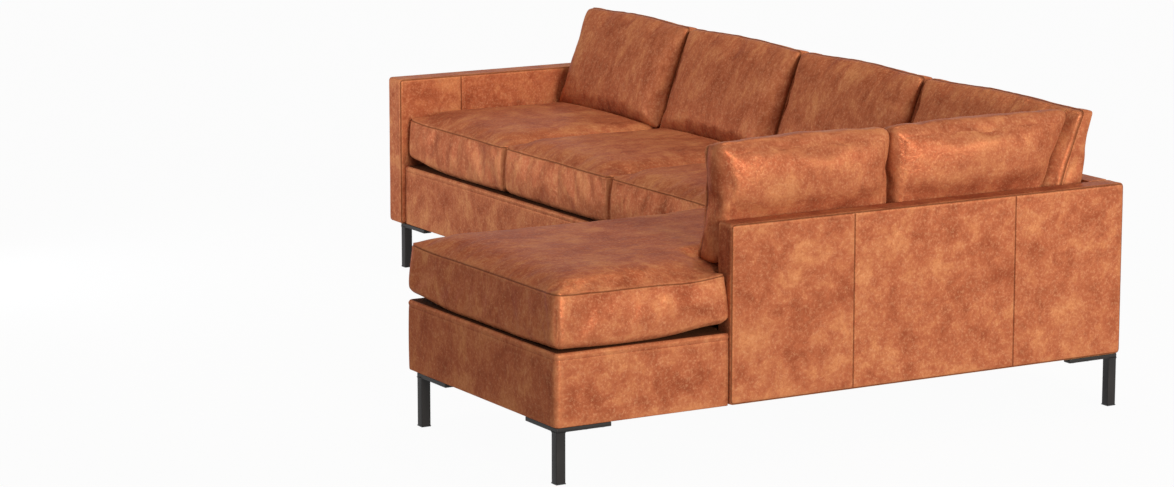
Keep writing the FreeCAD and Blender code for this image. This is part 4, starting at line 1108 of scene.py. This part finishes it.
# What lies inside the band of each base: start, end, and the corner of what is missing
FLOORS = {"main": ((X_ARM, Y_BASE + BAND), (X_JOINT, Y_BACK), None),
          "return": ((X_RETURN + BAND, Y_FRONT + BAND), (X_BUMPER - BAND, Y_BACK),
                     (X_SIDE - X_RETURN - BAND, Y_BUMPER - Y_FRONT - BAND))}
DECK_THICK, DECK_FIELDS = 12 * MM, 6
CLOTH_THICK, CLOTH_GAP = 1.2 * MM, 0.5 * MM


def decks():
    """Deck pads: flat where the cushions rest, with sunken stitch lines between the springs."""
    thick = DECK_THICK
    rows = [(3 * MM, thick), (0.8 * MM, thick - 1.2 * MM), (0, thick - 3 * MM),
            (0, 3 * MM), (0.8 * MM, 1.2 * MM), (3 * MM, 0)]
    for base, (start, end, notch) in FLOORS.items():
        width, depth = end[0] - start[0], end[1] - start[1]
        cross = [] if notch else [width * k / DECK_FIELDS for k in range(1, DECK_FIELDS)]
        plan = Plan(width, depth, 6 * MM, 60 * MM, notch, cross=tuple(cross))
        flat = np.zeros(plan.index.size)
        sunk = flat
        if cross:
            stitches = plan.distances()[SIDES:].min(axis=0)
            sunk = -2.5 * MM * np.exp(-(stitches / (6 * MM)) ** 2)
        pad = Pad(plan, rows, sunk, flat)
        points = pad.points + np.array([start[0], start[1], Z_DECK - thick])
        thing = make_mesh(base + "_deck", points, pad.faces, pad.seam, pad.panels)
        finish_piece(thing, finish_of("deck_cloth"), base + "_frame", "deck_cloth",
                     base + "_deck_pad", fill=0.3)


def dust_cloths():
    """Cloths stapled under the bases: flat sheets with a turned edge."""
    for base, (start, end, notch) in FLOORS.items():
        width, depth = end[0] - start[0], end[1] - start[1]
        plan = Plan(width, depth, 5 * MM, 40 * MM, notch)
        flat = np.zeros(plan.index.size)
        pad = Pad(plan, [(0, CLOTH_THICK), (0, 0)], flat, flat)
        points = pad.points + np.array([start[0], start[1], Z_UNDER + CLOTH_GAP])
        thing = make_mesh(base + "_underside", points, pad.faces, smooth_shading=False)
        finish_piece(thing, finish_of("dust_cloth"), base + "_frame", "dust_cloth",
                     base + "_dust_cover")
        area = width * depth
        if notch:
            area -= (width - notch[0]) * (depth - notch[1])


TUBE_WIDTH, TUBE_WALL, PLATE_REACH, PLATE_THICK = 28 * MM, 2 * MM, 165 * MM, 12 * MM
BEVEL, BEVEL_SHARE = 1.2 * MM, 0.35
GLIDE = 3 * MM  # what the plastic foot holds the tube off the floor
SQUARENESS = 0.22  # power of the rounded square


def leg_piece(name, body):
    """A leg: a rounded square tube under an L of flat bar. The tube is one loop of rounded squares
    carried down the outside and up the bore; the plate is a bevelled pad."""
    start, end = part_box(name)
    x_way = 1 if name.endswith("left") else -1
    y_way = 1 if "front" in name else -1
    corner_x = start[0] if x_way > 0 else end[0]
    corner_y = start[1] if y_way > 0 else end[1]
    # the plate, an L whose notch lies away from the corner
    plan = Plan(PLATE_REACH, PLATE_REACH, 2 * MM, 30 * MM, (TUBE_WIDTH, TUBE_WIDTH))
    near = BEVEL_SHARE * BEVEL
    rows = [(BEVEL, PLATE_THICK), (near, PLATE_THICK - near), (0, PLATE_THICK - BEVEL),
            (0, BEVEL), (near, near), (BEVEL, 0)]
    flat = np.zeros(plan.index.size)
    pad = Pad(plan, rows, flat, flat)
    plate = pad.points + np.array([0, 0, Z_UNDER - PLATE_THICK])
    # the tube, in rings of a rounded square, with a fillet of weld at its top
    angles = np.radians(np.arange(0, 360, 15))
    square = np.stack([np.sign(np.cos(angles)) * abs(np.cos(angles)) ** SQUARENESS,
                       np.sign(np.sin(angles)) * abs(np.sin(angles)) ** SQUARENESS], axis=-1)
    square /= abs(square).max()
    half, top = TUBE_WIDTH / 2, Z_UNDER - PLATE_THICK + 0.5 * MM
    bore = half - TUBE_WALL
    rings = [(bore, top), (bore, GLIDE + 0.6 * MM), (half - 1.2 * MM, GLIDE),
             (half - 0.9 * MM, GLIDE), (half - 0.2 * MM, GLIDE + 0.4 * MM),
             (half, GLIDE + 1.2 * MM), (half, (GLIDE + top) / 2), (half, top - 4 * MM),
             (half + 0.7 * MM, top - 1.8 * MM), (half + 1.6 * MM, top)]
    around = len(square)
    tube = np.concatenate([np.column_stack([half + square * out, np.full(around, z)])
                           for out, z in rings])
    index = np.arange(len(rings) * around).reshape(len(rings), around)
    after = np.roll(index, -1, axis=1)
    ahead, ahead_after = np.roll(index, -1, axis=0), np.roll(after, -1, axis=0)
    tube_faces = np.stack([after, ahead_after, ahead, index], axis=-1).reshape(-1, 4)
    points = np.concatenate([plate, tube])
    faces = pad.faces.tolist() + (tube_faces + len(plate)).tolist()
    points[:, 0] = corner_x + x_way * points[:, 0]
    points[:, 1] = corner_y + y_way * points[:, 1]
    if x_way * y_way < 0:
        faces = [face[::-1] for face in faces]
    thing = make_mesh(name + "_steel", points, faces)
    thing.data.set_sharp_from_angle(angle=math.radians(40))
    finish_piece(thing, finish_of("paint"), body, "leg_paint", name)


SPRING_TURN, SPRING_LEAD, SPRING_REACH = 24 * MM, 22 * MM, 36 * MM
WIRE_RADIUS, WIRE_SIDES = 2 * MM, 8


def wire_path(span):
    """Middle line of one spring along +Y: bars across joined by half circles, straight at both
    ends, sampled about every 15 degrees of a turn."""
    turn = SPRING_TURN
    bars = int((span - 2 * SPRING_LEAD) / (2 * turn))
    lead = (span - bars * 2 * turn) / 2
    quarter = np.radians(np.linspace(0, 90, 6))
    half = np.radians(np.linspace(-90, 90, 11))
    path = [np.array([[0, 0], [0, lead / 2]]),
            np.stack([turn * (1 - np.cos(quarter)), lead + turn * np.sin(quarter)], axis=-1)]
    y, side = lead + turn, 1
    for _ in range(1, bars):
        path.append(np.stack([side * (SPRING_REACH + turn * np.cos(half)),
                              y + turn + turn * np.sin(half)], axis=-1))
        y += 2 * turn
        side = -side
    path.append(np.stack([-side * turn * np.cos(quarter), y + turn * np.sin(quarter)], axis=-1))
    path.append(np.array([[0, span - lead / 2], [0, span]]))
    return np.concatenate(path)


def tube_along(path, radius, sides):
    """A closed round wire along a flat path: rings across the path's direction, with both ends
    closed."""
    forward = np.gradient(path, axis=0)
    forward /= np.linalg.norm(forward, axis=1, keepdims=True)
    across = np.stack([forward[:, 1], -forward[:, 0]], axis=-1)
    angles = np.linspace(0, 2 * np.pi, sides, endpoint=False)
    points = np.zeros((len(path), sides, 3))
    points[:, :, :2] = path[:, None] + across[:, None] * (radius * np.cos(angles))[None, :, None]
    points[:, :, 2] = radius * np.sin(angles)
    index = np.arange(len(path) * sides).reshape(len(path), sides)
    after = np.roll(index, -1, axis=1)
    faces = np.stack([index[:-1], index[1:], after[1:], after[:-1]], axis=-1).reshape(-1, 4)
    ends = [index[0].tolist(), index[-1][::-1].tolist()]
    return points.reshape(-1, 3), faces.tolist() + ends


def springs():
    """Rows of sinuous springs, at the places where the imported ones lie."""
    for base, count, turned in (("main", 13, False), ("return", 11, True)):
        start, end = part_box(base + "_springs")
        along, other = (0, 1) if turned else (1, 0)
        one, faces = tube_along(wire_path(end[along] - start[along]), WIRE_RADIUS, WIRE_SIDES)
        way = -1 if turned else 1
        least, most = (way * one[:, 0]).min(), (way * one[:, 0]).max()
        points, all_faces = [], []
        for number, place in enumerate(np.linspace(start[other] - least, end[other] - most, count)):
            moved = np.empty_like(one)
            moved[:, other] = place + way * one[:, 0]
            moved[:, along] = start[along] + one[:, 1]
            moved[:, 2] = one[:, 2] + (start[2] + end[2]) / 2
            points.append(moved)
            all_faces += [[corner + number * len(one) for corner in face] for face in faces]
        thing = make_mesh(base + "_spring_wire", np.concatenate(points), all_faces)
        finish_piece(thing, finish_of("spring"), base + "_frame", "spring_steel",
                     base + "_springs")


CARRIED = {
    "wood": ["arm_panel", "main_back_panel", "return_back_panels",
             "main_front_rail", "main_rear_rail", "main_cross_rails",
             "return_front_rail", "return_rear_rail", "return_cross_rails"],
    "plastic": ["main_glides", "return_glides"],
    "zinc": ["main_screws", "return_screws", "connector_receivers", "connector_pegs"],
}


def carried_nodes():
    """Gives the CAD nodes that stay visible their materials."""
    for finish, names in CARRIED.items():
        for name in names:
            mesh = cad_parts[name].data
            mesh.materials.clear()
            mesh.materials.append(finish_of(finish))


WHITE = (1, 1, 1, 1)
FLOOR_HALF, FLOOR_LINES, FLOOR_GLOW = 45, 25, 0.96
SUN_ANGLE = 20
SENSOR, FAR_CLIP = 36, 100
CAMERA_PLACE, CAMERA_YAW, CAMERA_PITCH = (9.5529, -5.5442, 2.3904), 30.229, 10.636


def backdrop_rays(tree):
    """1 for the rays that show the plain white background: those that the camera sees straight,
    mirrored or through something."""
    seen = 0
    for ray in ("Is Camera Ray", "Is Glossy Ray", "Is Transmission Ray"):
        ray = add(tree, "ShaderNodeLightPath", output=ray)
        seen = add(tree, "ShaderNodeMath", {0: seen, 1: ray}, operation="MAXIMUM")
    return seen


def set_stage():
    """A white floor and backdrop in one, soft lights and the camera."""
    scene = bpy.context.scene
    look = scene.sofa_stage
    lines = np.linspace(-FLOOR_HALF, FLOOR_HALF, FLOOR_LINES)
    x, y = np.meshgrid(lines, lines)
    points = np.stack([x, y, np.zeros_like(x)], axis=-1).reshape(-1, 3)
    index = np.arange(x.size).reshape(x.shape)
    faces = np.stack([index[:-1, :-1], index[:-1, 1:], index[1:, 1:], index[1:, :-1]],
                     axis=-1).reshape(-1, 4)
    floor = make_mesh("studio_floor", points, faces)
    # matt seamless paper
    material, tree, shader = new_material("studio_paper", look.floor, Roughness=0.9,
                                          Specular_IOR_Level=0.1)
    share = add(tree, "ShaderNodeMath", {0: backdrop_rays(tree), 1: FLOOR_GLOW},
                operation="MULTIPLY")
    glow = add(tree, "ShaderNodeEmission", {"Color": WHITE, "Strength": 1})
    mixed = add(tree, "ShaderNodeMixShader", {0: share, 1: shader.outputs[0], 2: glow})
    tree.links.new(mixed, tree.nodes["Material Output"].inputs["Surface"])
    floor.data.materials.append(material)

    world = scene.world = bpy.data.worlds.new("studio")
    world.use_nodes = True
    tree = world.node_tree
    sky = tree.nodes["Background"]
    sky.inputs["Color"].default_value = WHITE
    sky.inputs["Strength"].default_value = look.sky
    white = add(tree, "ShaderNodeBackground", {"Color": WHITE, "Strength": 1})
    mixed = add(tree, "ShaderNodeMixShader", {0: backdrop_rays(tree), 1: sky.outputs[0], 2: white})
    tree.links.new(mixed, tree.nodes["World Output"].inputs["Surface"])

    # name, strength, colour, size or None for a sun, place and target
    lamps = (("side_light", look.side, "#fffaf4", (1.0, 1.0), (3.5, 1.7, 1.1), (1.45, 0.6, 0.45)),
             ("key_light", look.key, "#fff6ec", None, (8, -0.4, 2.3), (0, 0, 0.4)),
             ("fill_light", look.fill, "#f0f6ff", (1.0, 1.0), (-1.9, -1.25, 0.65),
              (-1.0, 0.15, 0.4)),
             ("top_light", look.top, "#fff2de", (2.0, 0.4), (0.0, 0.6, 3.3), (0.0, 0.5, 0.4)))
    for name, strength, colour, size, place, target in lamps:
        lamp = bpy.data.lights.new(name, "AREA" if size else "SUN")
        lamp.energy, lamp.color = strength, linear(colour)
        if size:
            lamp.shape, lamp.size, lamp.size_y = "RECTANGLE", *size
        else:
            lamp.angle = math.radians(SUN_ANGLE)
        thing = bpy.data.objects.new(name, lamp)
        thing.visible_camera = False
        thing.location = place
        aim = Vector(target) - Vector(place)
        thing.rotation_euler = aim.to_track_quat("-Z", "Y").to_euler()
        scene.collection.objects.link(thing)

    camera = bpy.data.cameras.new("camera")
    camera.sensor_width, camera.lens, camera.clip_end = SENSOR, look.lens, FAR_CLIP
    thing = bpy.data.objects.new("camera", camera)
    yaw, pitch = math.radians(CAMERA_YAW), math.radians(CAMERA_PITCH)
    way = Vector((-math.cos(yaw) * math.cos(pitch), math.sin(yaw) * math.cos(pitch),
                  -math.sin(pitch)))
    thing.location = CAMERA_PLACE
    thing.rotation_euler = way.to_track_quat("-Z", "Y").to_euler()
    scene.collection.objects.link(thing)
    scene.camera = thing
    scene.view_settings.view_transform = "Standard"


class SOFA_OT_stage(bpy.types.Operator):
    """Make the floor, the lights and the camera"""
    bl_idname = "sofa.stage"
    bl_label = "Stage"

    def execute(self, context):
        set_stage()
        return {"FINISHED"}


class SOFA_OT_cushions(bpy.types.Operator):
    """Make the loose seat and back cushions"""
    bl_idname = "sofa.cushions"
    bl_label = "Loose cushions"

    def execute(self, context):
        make_cushions(seat_cushions() + back_cushions())
        return {"FINISHED"}


class SOFA_OT_boards(bpy.types.Operator):
    """Make the upholstered arm and backs"""
    bl_idname = "sofa.boards"
    bl_label = "Arm and backs"

    def execute(self, context):
        boards()
        return {"FINISHED"}


class SOFA_OT_bases(bpy.types.Operator):
    """Make the padded bands round the base"""
    bl_idname = "sofa.bases"
    bl_label = "Base bands"

    def execute(self, context):
        bases()
        return {"FINISHED"}


class SOFA_OT_decks(bpy.types.Operator):
    """Make the deck pads and the cloths under the base"""
    bl_idname = "sofa.decks"
    bl_label = "Decks and cloths"

    def execute(self, context):
        decks()
        dust_cloths()
        return {"FINISHED"}


class SOFA_OT_legs(bpy.types.Operator):
    """Make the steel legs"""
    bl_idname = "sofa.legs"
    bl_label = "Legs"

    def execute(self, context):
        for side in ("front_left", "front_right", "rear_left", "rear_right"):
            leg_piece("main_leg_" + side, "main_frame")
            leg_piece("return_leg_" + side, "return_frame")
        return {"FINISHED"}


class SOFA_OT_springs(bpy.types.Operator):
    """Make the sinuous springs"""
    bl_idname = "sofa.springs"
    bl_label = "Springs"

    def execute(self, context):
        springs()
        return {"FINISHED"}


class SOFA_OT_carried(bpy.types.Operator):
    """Give the carried-over nodes their materials"""
    bl_idname = "sofa.carried"
    bl_label = "Woodwork and fixings"

    def execute(self, context):
        carried_nodes()
        return {"FINISHED"}


OPERATORS = [SOFA_OT_stage, SOFA_OT_cushions, SOFA_OT_boards, SOFA_OT_bases, SOFA_OT_decks,
             SOFA_OT_legs, SOFA_OT_springs, SOFA_OT_carried]


class SOFA_PT_panel(bpy.types.Panel):
    """Lists the pieces of the sofa"""
    bl_idname = "SOFA_PT_panel"
    bl_label = "Sectional sofa"
    bl_space_type = "VIEW_3D"
    bl_region_type = "UI"
    bl_category = "Sofa"

    def draw(self, context):
        for operator in OPERATORS:
            self.layout.operator(operator.bl_idname)
        for group in SETTINGS:
            settings = getattr(context.scene, group)
            box = self.layout.box()
            for name in settings.bl_rna.properties.keys():
                if name not in ("rna_type", "name"):
                    box.prop(settings, name)


SETTINGS = {"sofa_leather": LeatherSettings, "sofa_cushions": CushionSettings,
            "sofa_frame": FrameSettings, "sofa_stage": StageSettings}
CLASSES = [*SETTINGS.values(), *OPERATORS, SOFA_PT_panel]


def register():
    for each in CLASSES:
        bpy.utils.register_class(each)
    for name, group in SETTINGS.items():
        setattr(bpy.types.Scene, name, PointerProperty(type=group))


def unregister():
    for name in SETTINGS:
        delattr(bpy.types.Scene, name)
    for each in reversed(CLASSES):
        bpy.utils.unregister_class(each)


def main():
    register()
    for operator in OPERATORS:
        group, name = operator.bl_idname.split(".")
        getattr(getattr(bpy.ops, group), name)()


if __name__ == "__main__":
    main()
